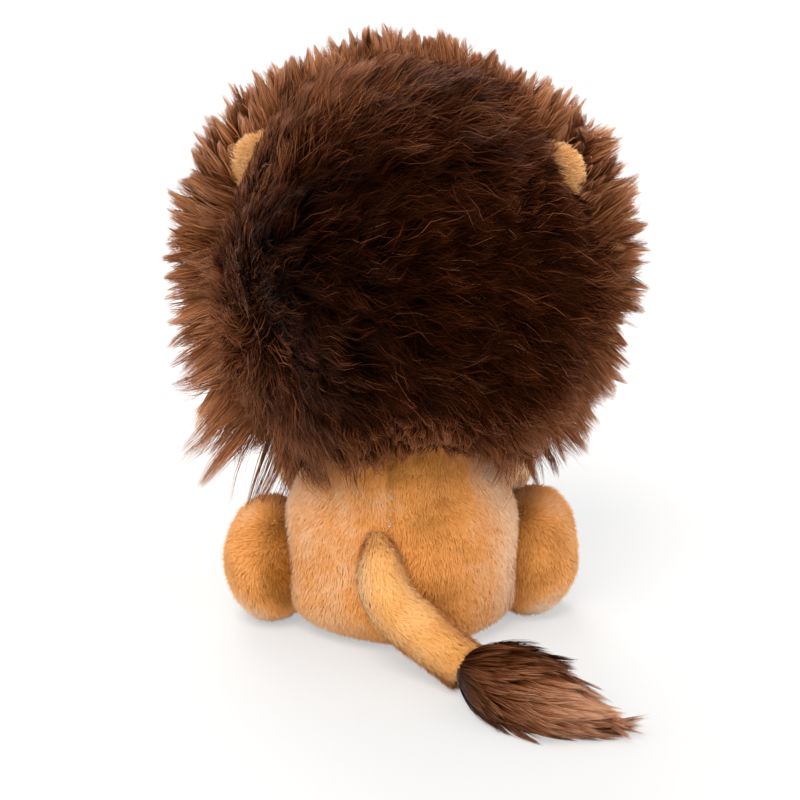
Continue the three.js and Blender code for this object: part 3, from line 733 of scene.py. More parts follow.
@dataclass(frozen=True)
class Pile:
    """A kind of pile: how its fibres stand, bend and gather into locks.

    Attributes:
        length: Length of a fibre, in mm.
        spread: Share by which lengths differ.
        width: Width of a fibre at its root, in mm.
        lift: Angles above the surface at root and tip, in degrees.
        steps: Segments in a fibre.
        wander: How far the nap turns from its way over the pelt, in degrees.
        wander_reach: Size of the patches that turn together, in mm.
        stray: How far single fibres turn from their neighbours, in degrees.
        locks: Distances between locks, coarse ones first, in mm.
        gather: How strongly fibres draw together into each kind of lock.
        wave: Sideways waviness of a fibre, in mm.
        tousle: How far neighbouring locks turn and rise apart, in degrees.
        contrast: How far the shades of locks differ.
        mottle: How far the shades of single fibres differ.
        frizz: How far a fibre kinks to the side from step to step, in mm.
        roundness: How much the shading turns across a fibre.
        softness: How much the shading follows the surface below the fibres.
        seed: Seed of the pile.
    """

    length: float
    spread: float
    width: float
    lift: tuple[float, float]
    steps: int = 3
    wander: float = 10.0
    wander_reach: float = 20.0
    stray: float = 8.0
    locks: tuple[float, ...] = ()
    gather: tuple[float, ...] = ()
    wave: float = 0.0
    tousle: float = 0.0
    contrast: float = 0.22
    mottle: float = 0.14
    frizz: float = 0.0
    roundness: float = 0.35
    softness: float = 0.0
    seed: int = 1

    def paths(self, roots: Roots, flow: Array, stretch: Array, rise: Array) -> Array:
        """Bends each fibre out of its root.

        Args:
            roots: The roots.
            flow: The way that the nap lies at each root.
            stretch: Share of the full length for each fibre.
            rise: Degrees by which each fibre stands up more than the pile's own lift.

        Returns:
            Points by fibre and by step, root first.
        """
        rng = np.random.default_rng(self.seed)
        count = len(roots.at)
        out = roots.out
        lie = unit(flow - out * dot(flow, out))
        side = np.cross(out, lie)
        tousle = self.tousle * Drift(self.seed + 6, 9.0).vectors(roots.at)
        turn = np.radians(
            self.wander * Drift(self.seed + 5, self.wander_reach).at(roots.at)
            + tousle[:, 0]
            + self.stray * rng.normal(size=count)
        )[:, None]
        lie = lie * np.cos(turn) + side * np.sin(turn)
        side = np.cross(out, lie)
        more = (rise + 0.6 * tousle[:, 1])[:, None]
        low, high = (
            np.radians(angle + more + self.stray * rng.normal(size=(count, 1)))
            for angle in self.lift
        )
        first = lie * np.cos(low) + out * np.sin(low)
        final = lie * np.cos(high) + out * np.sin(high)
        length = self.length * stretch[:, None] * (1 + self.spread * rng.uniform(-1, 1, (count, 1)))
        share = np.linspace(0, 1, self.steps + 1)[None, :, None]
        bend = first[:, None] * share + (final - first)[:, None] * share**2 / 2
        phase = 2 * math.pi * Drift(self.seed + 9, 9.0).at(roots.at)[:, None, None]
        sway = np.sin(2 * math.pi * share * 1.1 + phase) - np.sin(phase)
        paths = (
            roots.at[:, None]
            + length[:, None] * bend
            + side[:, None] * sway * share * self.wave * stretch[:, None, None]
        )
        floor = FLOOR_CLEARANCE + 0.4 * rng.uniform(size=(count, 1))
        paths[:, :, 2] = np.maximum(paths[:, :, 2], floor)
        past = np.maximum(paths[:, :, 0] - SIDE_REACH + SIDE_FADE, 0)
        paths[:, :, 0] += SIDE_FADE * np.tanh(past / SIDE_FADE) - past
        return paths

    def gathered(self, roots: Roots, paths: Array) -> tuple[Array, Array]:
        """Draws fibres together into locks.

        Args:
            roots: The roots.
            paths: Their free paths.

        Returns:
            The new paths, and a random shade from 0 to 1 shared within each coarse lock.
        """
        rng = np.random.default_rng(self.seed + 3)
        share = np.linspace(0, 1, self.steps + 1)[None, :, None]
        shade = rng.uniform(size=len(roots.at))
        span = np.ptp(roots.at, axis=0)
        area = float(span[0] * span[1] + span[1] * span[2] + span[0] * span[2]) * 1.3
        for order, (spacing, pull) in enumerate(zip(self.locks, self.gather, strict=True)):
            guides = min(len(roots.at), max(3, int(area / spacing**2)))
            tree = kdtree.KDTree(guides)
            for i in range(guides):
                tree.insert(roots.at[i], i)
            tree.balance()
            owner = np.array([tree.find(at)[1] for at in roots.at])
            paths = paths + (paths[owner] - paths) * pull * share**1.3
            if order == 0:
                shade = rng.uniform(size=guides)[owner]
        return paths, shade

    def grow(
        self,
        name: str,
        roots: Roots,
        flow: Array,
        finish: PileFinish,
        body: str,
        shade: Array | None = None,
        stretch: Array | None = None,
        rise: Array | None = None,
    ) -> list[bpy.types.Object]:
        """Grows the fibres as fine tapered ribbons, in as many pieces as they need.

        Args:
            name: First part of the pieces' names.
            roots: The roots.
            flow: The way that the nap lies at each root.
            finish: The fibres' finish.
            body: The body that they ride on.
            shade: From 0, deep, to 1, pale, before the fibres' own spread.
            stretch: Share of the full length for each fibre.
            rise: Degrees by which each fibre stands up more than the pile's own lift.

        Returns:
            The pieces.
        """
        rng = np.random.default_rng(self.seed + 7)
        count = len(roots.at)
        full = np.ones(count) if stretch is None else stretch
        more = np.zeros(count) if rise is None else rise
        base = np.full(count, 0.5) if shade is None else shade
        paths, lock = self.gathered(roots, self.paths(roots, flow, full, more))
        kinks = self.frizz * np.cumsum(rng.normal(size=(count, self.steps, 3)), axis=1)
        paths[:, 1:] += kinks * full[:, None, None]
        paths[:, :, 2] = np.maximum(paths[:, :, 2], FLOOR_CLEARANCE)
        tone = base + self.contrast * (lock - 0.5) + self.mottle * rng.normal(size=count)
        tone = np.clip(tone, 0.02, 0.98)
        limit = PIECE_TRIANGLES // (2 * self.steps - 1)
        pieces = []
        for number, start in enumerate(range(0, count, limit), 1):
            part = slice(start, start + limit)
            label = f"{name}_{number}" if count > limit else name
            pieces.append(
                self.ribbons(label, paths[part], roots.out[part], tone[part], finish, body)
            )
        log.info("%s: %d fibres in %d pieces", name, count, len(pieces))
        return pieces

    def ribbons(
        self,
        name: str,
        paths: Array,
        out: Array,
        tone: Array,
        finish: PileFinish,
        body: str,
    ) -> bpy.types.Object:
        """Makes one piece of ribbons.

        Args:
            name: The piece's name.
            paths: Points by fibre and by step.
            out: The surface's outward way at each root.
            tone: Shade of each fibre, from 0 to 1.
            finish: The fibres' finish.
            body: The body that they ride on.

        Returns:
            The piece.
        """
        rng = np.random.default_rng(self.seed + 11 + len(name))
        count, steps = len(paths), self.steps
        share = np.linspace(0, 1, steps + 1)
        tangent = unit(np.gradient(paths, axis=1))
        up = out[:, None] - tangent * dot(out[:, None], tangent)
        faint = np.linalg.norm(up, axis=2, keepdims=True) < 0.15
        spare = np.cross(tangent, unit(rng.normal(size=(count, 1, 3))))
        up = unit(np.where(faint, spare, up))
        roll = np.radians(28 * (1 - 0.8 * self.softness) * rng.normal(size=(count, 1, 1)))
        across = np.cross(tangent, up)
        turned_across = across * np.cos(roll) + up * np.sin(roll)
        half = 0.5 * self.width * np.minimum(1, 0.75 + share) * (1 - share**1.7)
        half = half[None, :, None] * rng.uniform(0.7, 1.3, (count, 1, 1))
        left = paths - turned_across * half
        right = paths + turned_across * half
        lean = self.roundness * across
        shown = up * (1 - self.softness) + out[:, None] * self.softness
        normals = np.stack([unit(shown - lean), unit(shown + lean)], axis=2)
        points = np.stack([left, right], axis=2)
        per = 2 * steps + 1
        points = points.reshape(count, -1, 3)[:, :per]
        normals = normals.reshape(count, -1, 3)[:, :per]
        base = (np.arange(count) * per)[:, None]
        quads = np.array([[2 * i, 2 * i + 1, 2 * i + 3, 2 * i + 2] for i in range(steps - 1)])
        tip = np.array([2 * steps - 2, 2 * steps - 1, 2 * steps])
        order = np.concatenate([quads.ravel(), tip]).astype(np.int64)
        corners = (base + order[None]).ravel()
        sizes = np.array([4] * (steps - 1) + [3])
        starts = np.concatenate([[0], np.cumsum(sizes)[:-1]])
        loops = (np.arange(count) * sizes.sum())[:, None] + starts[None]
        mesh = bpy.data.meshes.new(name)
        mesh.vertices.add(count * per)
        mesh.vertices.foreach_set("co", (points * MM).astype(np.float32).ravel())
        mesh.loops.add(len(corners))
        mesh.loops.foreach_set("vertex_index", corners.astype(np.int32))
        mesh.polygons.add(count * steps)
        mesh.polygons.foreach_set("loop_start", loops.astype(np.int32).ravel())
        mesh.update(calc_edges=True)
        mesh.polygons.foreach_set("use_smooth", np.ones(count * steps, bool))
        edge = np.tile(np.array([-0.004, 0.004]), steps + 1)[:per]
        height = np.repeat(share, 2)[:per]
        chart = np.zeros((count, per, 2), np.float32)
        chart[:, :, 0] = tone[:, None] + edge[None]
        chart[:, :, 1] = 0.01 + 0.98 * height[None]
        layer = mesh.uv_layers.new(name=PILE_MAP)
        layer.data.foreach_set("uv", chart[:, order].ravel())
        mesh.materials.append(WORKSHOP.material(finish))
        mesh.normals_split_custom_set_from_vertices(normals.reshape(-1, 3).astype(np.float32))
        thing = bpy.data.objects.new(name, mesh)
        bpy.context.scene.collection.objects.link(thing)
        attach(thing, body)
        return thing


PLUSH = Pile(
    length=3.2, spread=0.3, width=0.42, lift=(36, 16), wander=18, stray=16, locks=(3.0,),
    gather=(0.15,), contrast=0.05, mottle=0.05, roundness=0.08, softness=0.93, seed=22,
)
SMOOTH_PLUSH = replace(
    PLUSH, length=3.6, lift=(38, 18), wander=12, stray=12, gather=(0.1,), contrast=0.03,
    mottle=0.04, roundness=0.05, softness=0.95, seed=25,
)


@dataclass(frozen=True)
class Plumping:
    """Simulation that puffs a sewn cover out between its seams, as its filling does.

    Attributes:
        pressure: Pressure of the filling.
        frames: How many frames are run.
        most: How far a point may move, in mm.
    """

    pressure: float = 4.0
    frames: int = 20
    most: float = 2.5

    def puff(self, thing: bpy.types.Object, held: Array) -> None:
        """Runs the simulation and keeps its result in the piece's mesh.

        Args:
            thing: The piece.
            held: Mask of the points that seams hold in place.
        """
        mesh = thing.data
        group = thing.vertex_groups.new(name="seams")
        group.add([int(i) for i in np.flatnonzero(held)], 1.0, "REPLACE")
        cloth = thing.modifiers.new("filling", "CLOTH")
        settings = cloth.settings
        settings.quality = 5
        settings.mass = 0.2
        settings.tension_stiffness = settings.compression_stiffness = 12
        settings.shear_stiffness = 6
        settings.bending_stiffness = 0.4
        settings.use_pressure = True
        settings.uniform_pressure_force = self.pressure
        settings.vertex_group_mass = group.name
        settings.effector_weights.gravity = 0
        scene = bpy.context.scene
        cloth.point_cache.frame_start, cloth.point_cache.frame_end = 1, self.frames
        for number in range(1, self.frames + 1):
            scene.frame_set(number)
        graph = bpy.context.evaluated_depsgraph_get()
        puffed = thing.evaluated_get(graph)
        before = np.zeros(len(mesh.vertices) * 3)
        mesh.vertices.foreach_get("co", before)
        after = np.zeros(len(mesh.vertices) * 3)
        puffed.data.vertices.foreach_get("co", after)
        move = (after - before).reshape(-1, 3)
        reach = np.maximum(np.linalg.norm(move, axis=1, keepdims=True), 1e-9)
        move = move * np.minimum(1, self.most * MM / reach)
        thing.modifiers.remove(cloth)
        thing.vertex_groups.remove(group)
        mesh.vertices.foreach_set("co", (before.reshape(-1, 3) + move).ravel())
        mesh.update()
        scene.frame_set(1)
        log.info("%s puffed by %.1f mm", thing.name, float(np.abs(move).max()) / MM)


@dataclass
class Torso:
    """The pear-shaped body with the seam down its back, its stuffing and its pellets.

    Attributes:
        half_width: Half width of the cover, in mm.
        half_depth: Half depth of the cover, in mm.
        height: Height of the neck's opening, in mm.
        neck: Radius of the neck, in mm.
        bag_top: Height of the pellet bag, in mm.
        pile: The cover's short pile.
    """

    half_width: float = 48.0
    half_depth: float = 42.0
    height: float = 101.4
    neck: float = 24.0
    bag_top: float = 15.0
    pile: Pile = replace(
        SMOOTH_PLUSH, length=3.2, lift=(36, 16), wander=18, wander_reach=26, seed=21
    )

    def profile(self, margin: float, low: float, high: float) -> Array:
        """The pear's outline as (radius, height) rows between two heights."""
        shares = [
            (0.3, 0.0),
            (0.52, 0.0),
            (0.74, 0.022),
            (0.87, 0.06),
            (0.955, 0.125),
            (1, 0.24),
            (0.98, 0.38),
            (0.915, 0.5),
            (0.81, 0.62),
            (0.69, 0.76),
            (0.585, 0.9),
            (self.neck / self.half_width, 1),
        ]
        line = smooth_line(np.array(shares) * [self.half_width, self.height], 40)
        line[:, 0] += margin
        line[:, 1] = np.clip(line[:, 1], max(low, 0.3 - margin * 0.5), high)
        return line

    def holds(self, points: Array, margin: float = 0.5) -> Array:
        """Mask of the points that lie inside the cover by more than a margin."""
        line = self.profile(-margin, 0, self.height)
        radius = np.interp(points[:, 2], line[:, 1], line[:, 0], right=0.0)
        across = np.hypot(points[:, 0], points[:, 1] * self.half_width / self.half_depth)
        return across < radius

    def build(self) -> None:
        """Makes the cover with its pile, the stuffing and the pellet bag."""
        scale = (1, self.half_depth / self.half_width, 1)
        points, faces = turned(self.profile(-0.2, 0, self.height), scale, 72)
        points = points + unit(points * [1, 1, 0]) * Drift(31, 34).at(points)[:, None] * 0.9
        x = points[:, 0]
        points[:, 0] = x + (1.6 * smooth_step(x, 12, 44) - 0.5 * smooth_step(-x, 12, 44))
        back = points[:, 1] > 0
        seam = np.exp(-((points[:, 0] / 2.2) ** 2)) * back * smooth_step(points[:, 2], 6, 20)
        points[:, 1] -= seam * 1.6
        cover = WORKSHOP.piece("body_cover", (points, faces), TAN_BACKING, "torso", ["body_skin"])
        held = (np.abs(points[:, 0]) < 1.5) | (points[:, 2] < 1.5) | (points[:, 2] > 96)
        Plumping(most=1.8).puff(cover, held)
        filling = turned(self.profile(-SEAT_INSET, self.bag_top + 0.4, self.height), scale, 40)
        WORKSHOP.piece("body_fibre", lumpy(filling, 41, 0.3), STUFFING, "torso", ["body_stuffing"])
        bag = turned(self.profile(-SEAT_INSET, 0, self.bag_top), scale, 40)
        WORKSHOP.piece("pellets", lumpy(bag, 43, 0.25), COTTON, "torso", ["pellet_bag"])
        roots = Roots.over(cover, 130_000, 51)
        roots = roots.where((roots.at[:, 2] < 100) & (roots.out[:, 2] > -0.93))
        flow = np.tile([0.0, 0.0, -1.0], (len(roots.at), 1)) + unit(roots.at * [1, 1, 0]) * 0.3
        self.pile.grow("body_pile", roots, flow, TAN_PILE, "torso", body_shade(roots))


def lumpy(skin: Skin, seed: int, depth: float) -> Skin:
    """A skin with uneven swells, for fibre and pellets."""
    points, faces = skin
    return points + Drift(seed, 11).vectors(points) * depth, faces


def body_shade(roots: Roots) -> Array:
    """How pale the body's pile is, from the brown of its back to its creamy front, with painted
    light at its sides and painted shade under the mane, beside the tail and along the seam.
    """
    x, y, z = roots.at.T
    back = smooth_step(y, 4, 27)
    left, right = smooth_step(x, -8, 24), smooth_step(-x, 14, 40)
    shade = 0.36 + 0.28 * left + 0.2 * right + 0.1 * smooth_step(-z, -20, 0)
    # Painted rim light: paler at both flanks, where the sides turn away.
    shade += 0.36 * smooth_step(np.abs(x), 38, 47)
    # Painted shade: a darker patch on the right of the back, where the tail lies close against the
    # body.
    shade -= 0.2 * np.exp(-(((x + 14) / 13) ** 2) - ((z - 18) / 16) ** 2)
    # Painted shade: darker at the top, under the mane's hem.
    shade -= 0.22 * smooth_step(z, 64, 84)
    shade += 0.3 * np.exp(-(((x - 3) / 7) ** 2) - ((z - 66) / 7) ** 2)
    # Painted shade: a darker line in the seam's crease down the back.
    shade -= 0.2 * np.exp(-((x / 1.7) ** 2)) * smooth_step(z, 50, 58)
    # The front is cream, partly the pelt's own cream front and partly painted rim light where the
    # sides turn away.
    shade = 0.92 + (shade - 0.92) * back
    return shade + 0.07 * Drift(61, 16).at(roots.at) + 0.05 * Drift(60, 7).at(roots.at)


def stuff(
    tube: Tube,
    body: str,
    pieces: tuple[str, str],
    nodes: tuple[str, str],
    seed: int,
    backing: BackingFinish = TAN_BACKING,
    unevenness: float = 0.0,
) -> bpy.types.Object:
    """Makes a tube's padded cover and the fibre inside it.

    Args:
        tube: The tube.
        body: The body that both ride on.
        pieces: Names of the cover and of the fibre.
        nodes: The frame's nodes that they replace.
        seed: Seed of the fibre's lumps.
        backing: What the cover is made of.
        unevenness: Height of the cover's swells, in mm.

    Returns:
        The cover.
    """
    points, faces = tube.skin(-PELT_INSET)
    points = points + Drift(33, 26).vectors(points) * unevenness
    points[:, 2] = np.maximum(points[:, 2], COVER_CLEARANCE)
    cover = WORKSHOP.piece(pieces[0], (points, faces), backing, body, nodes[:1])
    fibre = lumpy(tube.skin(-FIBRE_INSET), seed, 0.2)
    WORKSHOP.piece(pieces[1], fibre, STUFFING, body, nodes[1:])
    return cover


@dataclass
class Foreleg:
    """One foreleg, from its shoulder ball to its paw on the floor.

    Attributes:
        side: Which of the two it is.
        bulge: How far it bends outwards, in mm.
        radius: Radius of the leg, in mm.
        pile: The cover's short pile.
    """

    side: Side
    bulge: float
    radius: float = 13.5
    pile: Pile = PLUSH

    def tube(self) -> Tube:
        """The leg's tube."""
        sign = self.side.value
        shoulder, paw = np.array([38 * sign, -14, 70]), np.array([27 * sign, -58, 13.4])
        bend = np.array([self.bulge * sign, -10, 0])
        rows = [
            [*(shoulder + (paw - shoulder) * along + bend * share), *[self.radius * size] * 2]
            for along, share, size in [(0, 0, 0.96), (0.34, 1, 1), (0.68, 0.6, 0.9), (1, 0, 1)]
        ]
        rows.insert(0, [*(shoulder + [-4 * sign, 4, 3]), self.radius * 0.86, self.radius * 0.86])
        rows.append([*(paw + [0, -17, 0]), self.radius, self.radius])
        return Tube(np.array(rows, float), np.array([1.0, 0, 0]), self.radius, self.radius)

    def build(self) -> None:
        """Makes the cover with its pile, and the stuffing."""
        tube, word = self.tube(), self.side.word
        body = f"foreleg_{word}"
        pieces = f"foreleg_cover_{word}", f"foreleg_fibre_{word}"
        cover = stuff(tube, body, pieces, (body, f"foreleg_stuffing_{word}"), 44)
        roots = Roots.over(cover, 24_000, 52)
        roots = roots.where(~Torso().holds(roots.at))
        shade = 0.88 + 0.08 * Drift(62, 14).at(roots.at)
        self.pile.grow(f"foreleg_pile_{word}", roots, tube.ways(roots.at), TAN_PILE, body, shade)


@dataclass
class HindLeg:
    """One hind leg: an upright foot beside the seat with a pad on its sole.

    Attributes:
        side: Which of the two it is.
        out: Distance of the foot from the middle, in mm.
        back: How far behind the middle the foot is, in mm.
        heel: How far the heel reaches behind the foot's middle, in mm.
        toe_out: How far the toes turn out, in degrees.
        half_width: Half width of the foot, in mm.
        half_height: Half height of the foot, in mm.
        pile: The cover's short pile.
    """

    side: Side
    out: float
    back: float
    heel: float
    toe_out: float
    half_width: float = 18.0
    half_height: float = 24.0
    pile: Pile = replace(PLUSH, length=3.8, lift=(38, 18), seed=23)

    def tube(self) -> Tube:
        """The foot's tube, from its heel to its sole."""
        sign, angle = self.side.value, math.radians(self.toe_out)
        centre = np.array([(self.out + 0.6) * sign, self.back, self.half_height - 0.1])
        toe = np.array([sign * math.sin(angle), -math.cos(angle), 0])
        shares = [(-self.heel, 0.9, 0.9), (-6.7, 1, 0.98), (6.6, 0.98, 1), (18, 0.92, 1)]
        rows = [
            [*(centre + toe * at), self.half_height * tall, self.half_width * wide]
            for at, wide, tall in shares
        ]
        return Tube(np.array(rows, float), np.array([0, 0, 1.0]), 20, 8)

    def build(self) -> None:
        """Makes the cover with its pile, the stuffing and the sole's pad."""
        tube, word = self.tube(), self.side.word
        body = f"hind_leg_{word}"
        pieces = f"hind_leg_cover_{word}", f"hind_leg_fibre_{word}"
        nodes = body, f"hind_leg_stuffing_{word}"
        cover = stuff(tube, body, pieces, nodes, 45, unevenness=0.7)
        self.build_sole(tube, body, word)
        roots = Roots.over(cover, 36_000, 53)
        roots = roots.where(~Torso().holds(roots.at))
        x, y, z = roots.at.T
        # Painted shade: the pile is darker near the body, where the foot sits in the body's shadow.
        near = smooth_step(-np.abs(x), -60, -44)
        shade = 0.42 - 0.42 * near + 0.6 * smooth_step(-z, -24, -5)
        shade += 0.08 * Drift(63, 15).at(roots.at)
        shade += 0.2 * smooth_step(z, 40, 48) * (1 - near)
        flow = np.stack([0.3 * np.sign(x), -0.4 + 0 * y, -1.0 + 0 * z], axis=1)
        self.pile.grow(f"hind_leg_pile_{word}", roots, flow, TAN_PILE, body, shade)

    def build_sole(self, tube: Tube, body: str, word: str) -> None:
        """Makes the oval pad on the sole, domed a little by its own filling."""
        toe = tube.tangents[-1]
        middle = tube.line[-1] + toe * 0.5
        side = np.cross(toe, [0, 0, 1.0])
        angles = np.linspace(0, 2 * math.pi, 40, endpoint=False)
        oval = (
            np.outer(np.cos(angles), side) * 8.8 + np.outer(np.sin(angles), [0, 0, 1.0]) * 12.8
        )
        dome = [(0.94, -0.5), (1, 0.1), (0.97, 0.9), (0.85, 1.4), (0.6, 1.7), (0.3, 1.9)]
        dome.append((0.05, 1.95))
        rings = np.array([middle + oval * share + toe * rise for share, rise in dome])
        pad = WORKSHOP.piece(
            f"sole_cover_{word}", loft(rings[:, ::-1]), CREAM_BACKING, body, [f"sole_pad_{word}"]
        )
        roots = Roots.over(pad, 5_000, 54)
        roots = roots.where(dot(roots.out, toe)[:, 0] > 0)
        flow = np.tile([0.0, 0.0, -1.0], (len(roots.at), 1))
        pile = Pile(2.0, 0.25, 0.4, (45, 25), wander=25, stray=14, seed=24)
        pile.grow(f"sole_pile_{word}", roots, flow, CREAM_PILE, body)


@dataclass
class Tail:
    """The tail's sleeve and the tuft at its end.

    Attributes:
        end: Where the tuft starts, in mm.
        radius: Radius of the sleeve, in mm.
        heading: The tuft's way, in degrees from +X towards +Y.
        reach: Length of the tuft's mass, in mm.
        sag: How far the tuft bows backwards on its way, in mm.
        pile: The sleeve's short pile.
        bunch: The tuft's long pile.
    """

    end: Triple = (-35.0, 66.0, 8.8)
    radius: float = 9.3
    heading: float = 154.0
    reach: float = 61.0
    sag: float = 4.4
    pile: Pile = SMOOTH_PLUSH
    bunch: Pile = Pile(
        length=27, spread=0.3, width=0.44, lift=(13, -4), steps=5, wander=7, wander_reach=16,
        stray=3, locks=(4.2, 1.8), gather=(0.6, 0.6), wave=0.5, contrast=0.36, mottle=0.26, seed=26,
    )

    def sleeve(self) -> Tube:
        """The sleeve's tube."""
        route = [
            (5.5, 31, 52, 0.3),
            (4.6, 36.5, 49, 0.52),
            (2.8, 42.5, 43.5, 0.84),
            (1.4, 47.5, 36.5, 0.98),
            (-4.6, 52, 27, 1.06),
            (-15.5, 56, 19, 1.06),
            (-26.2, 60.4, 13.6, 1.03),
            (*self.end[:2], self.end[2] + 0.8, 1.0),
        ]
        rows = [[x, y, z, *[self.radius * size] * 2] for x, y, z, size in route]
        return Tube(np.array(rows, float), unit(np.array([1.0, 1.0, 0])), 4, 3, rings=48)

    def build(self) -> None:
        """Makes the sleeve with its pile and stuffing, and the tuft."""
        tube = self.sleeve()
        pieces, nodes = ("tail_cover", "tail_fibre"), ("tail_sleeve", "tail_stuffing")
        cover = stuff(tube, "tail", pieces, nodes, 46, TAIL_BACKING)
        roots = Roots.over(cover, 28_000, 55)
        end = dot(roots.out, tube.tangents[-1])[:, 0] >= 0.8
        roots = roots.where(~Torso().holds(roots.at) & ~end)
        shade = 0.44 + 0.12 * Drift(64, 12).at(roots.at)
        # Painted shade: darker where the sleeve faces down; painted light: paler where it faces +X,
        # the toy's left.
        shade -= 0.24 * smooth_step(-roots.out[:, 2], 0, 0.8)
        shade += 0.24 * smooth_step(roots.out[:, 0], 0.2, 0.9)
        shade -= 0.26 * smooth_step(-roots.at[:, 0], 10, 34)
        self.pile.grow("tail_pile", roots, tube.ways(roots.at), TAIL_PILE, "tail", shade)
        self.build_tuft()

    def build_tuft(self) -> None:
        """Makes the tuft's core and the long pile that grows from it."""
        heading = math.radians(self.heading)
        way = np.array([math.cos(heading), math.sin(heading), 0])
        end = np.array(self.end)
        bulk = [(0, 7.8, 8), (0.12, 10.6, 9.4), (0.3, 13, 9.8), (0.5, 12.5, 8.6), (0.68, 9, 6)]
        side = np.cross([0, 0, 1.0], way)
        rows = []
        for along, wide, tall in [*bulk, (0.82, 4.5, 3)]:
            at = end * [1, 1, 0] + way * self.reach * along + [0, 0, max(tall, 6.5) + 0.6]
            sag = -side * self.sag * math.sin(math.pi * min(along, 1))
            rows.append([*(at + sag), tall, wide])
        tube = Tube(np.array(rows, float), np.array([0, 0, 1.0]), 3, 2)
        core = WORKSHOP.piece("tuft_core", tube.skin(), TUFT_BACKING, "tuft", ["tail_tuft"])
        roots = Roots.over(core, 22_000, 56)
        short = (roots.at - end) @ way < 0.76 * self.reach
        roots = roots.where((dot(roots.out, way)[:, 0] > -0.55) & short)
        along = (roots.at - end) @ way / self.reach
        sideways = (roots.at - end) @ side + self.sag * np.sin(math.pi * np.clip(along, 0, 1))
        bend = -self.sag * math.pi / self.reach * np.cos(math.pi * np.clip(along + 0.22, 0, 1))
        flow = way + side * (bend - sideways * 0.03)[:, None] + np.array([0, 0, -0.05])
        stretch = np.clip(0.8 + 0.4 * along, 0.6, 1.0)
        shade = 0.22 + 0.84 * smooth_step(along, 0.1, 0.6) + 0.12 * Drift(65, 9).at(roots.at)
        whorl = np.array([-37.0, 74.0, 14.0])
        shade -= 0.4 * np.exp(-((np.linalg.norm(roots.at - whorl, axis=1) / 7) ** 2))
        self.bunch.grow("tuft_pile", roots, flow, TUFT_PILE, "tuft", shade, stretch)


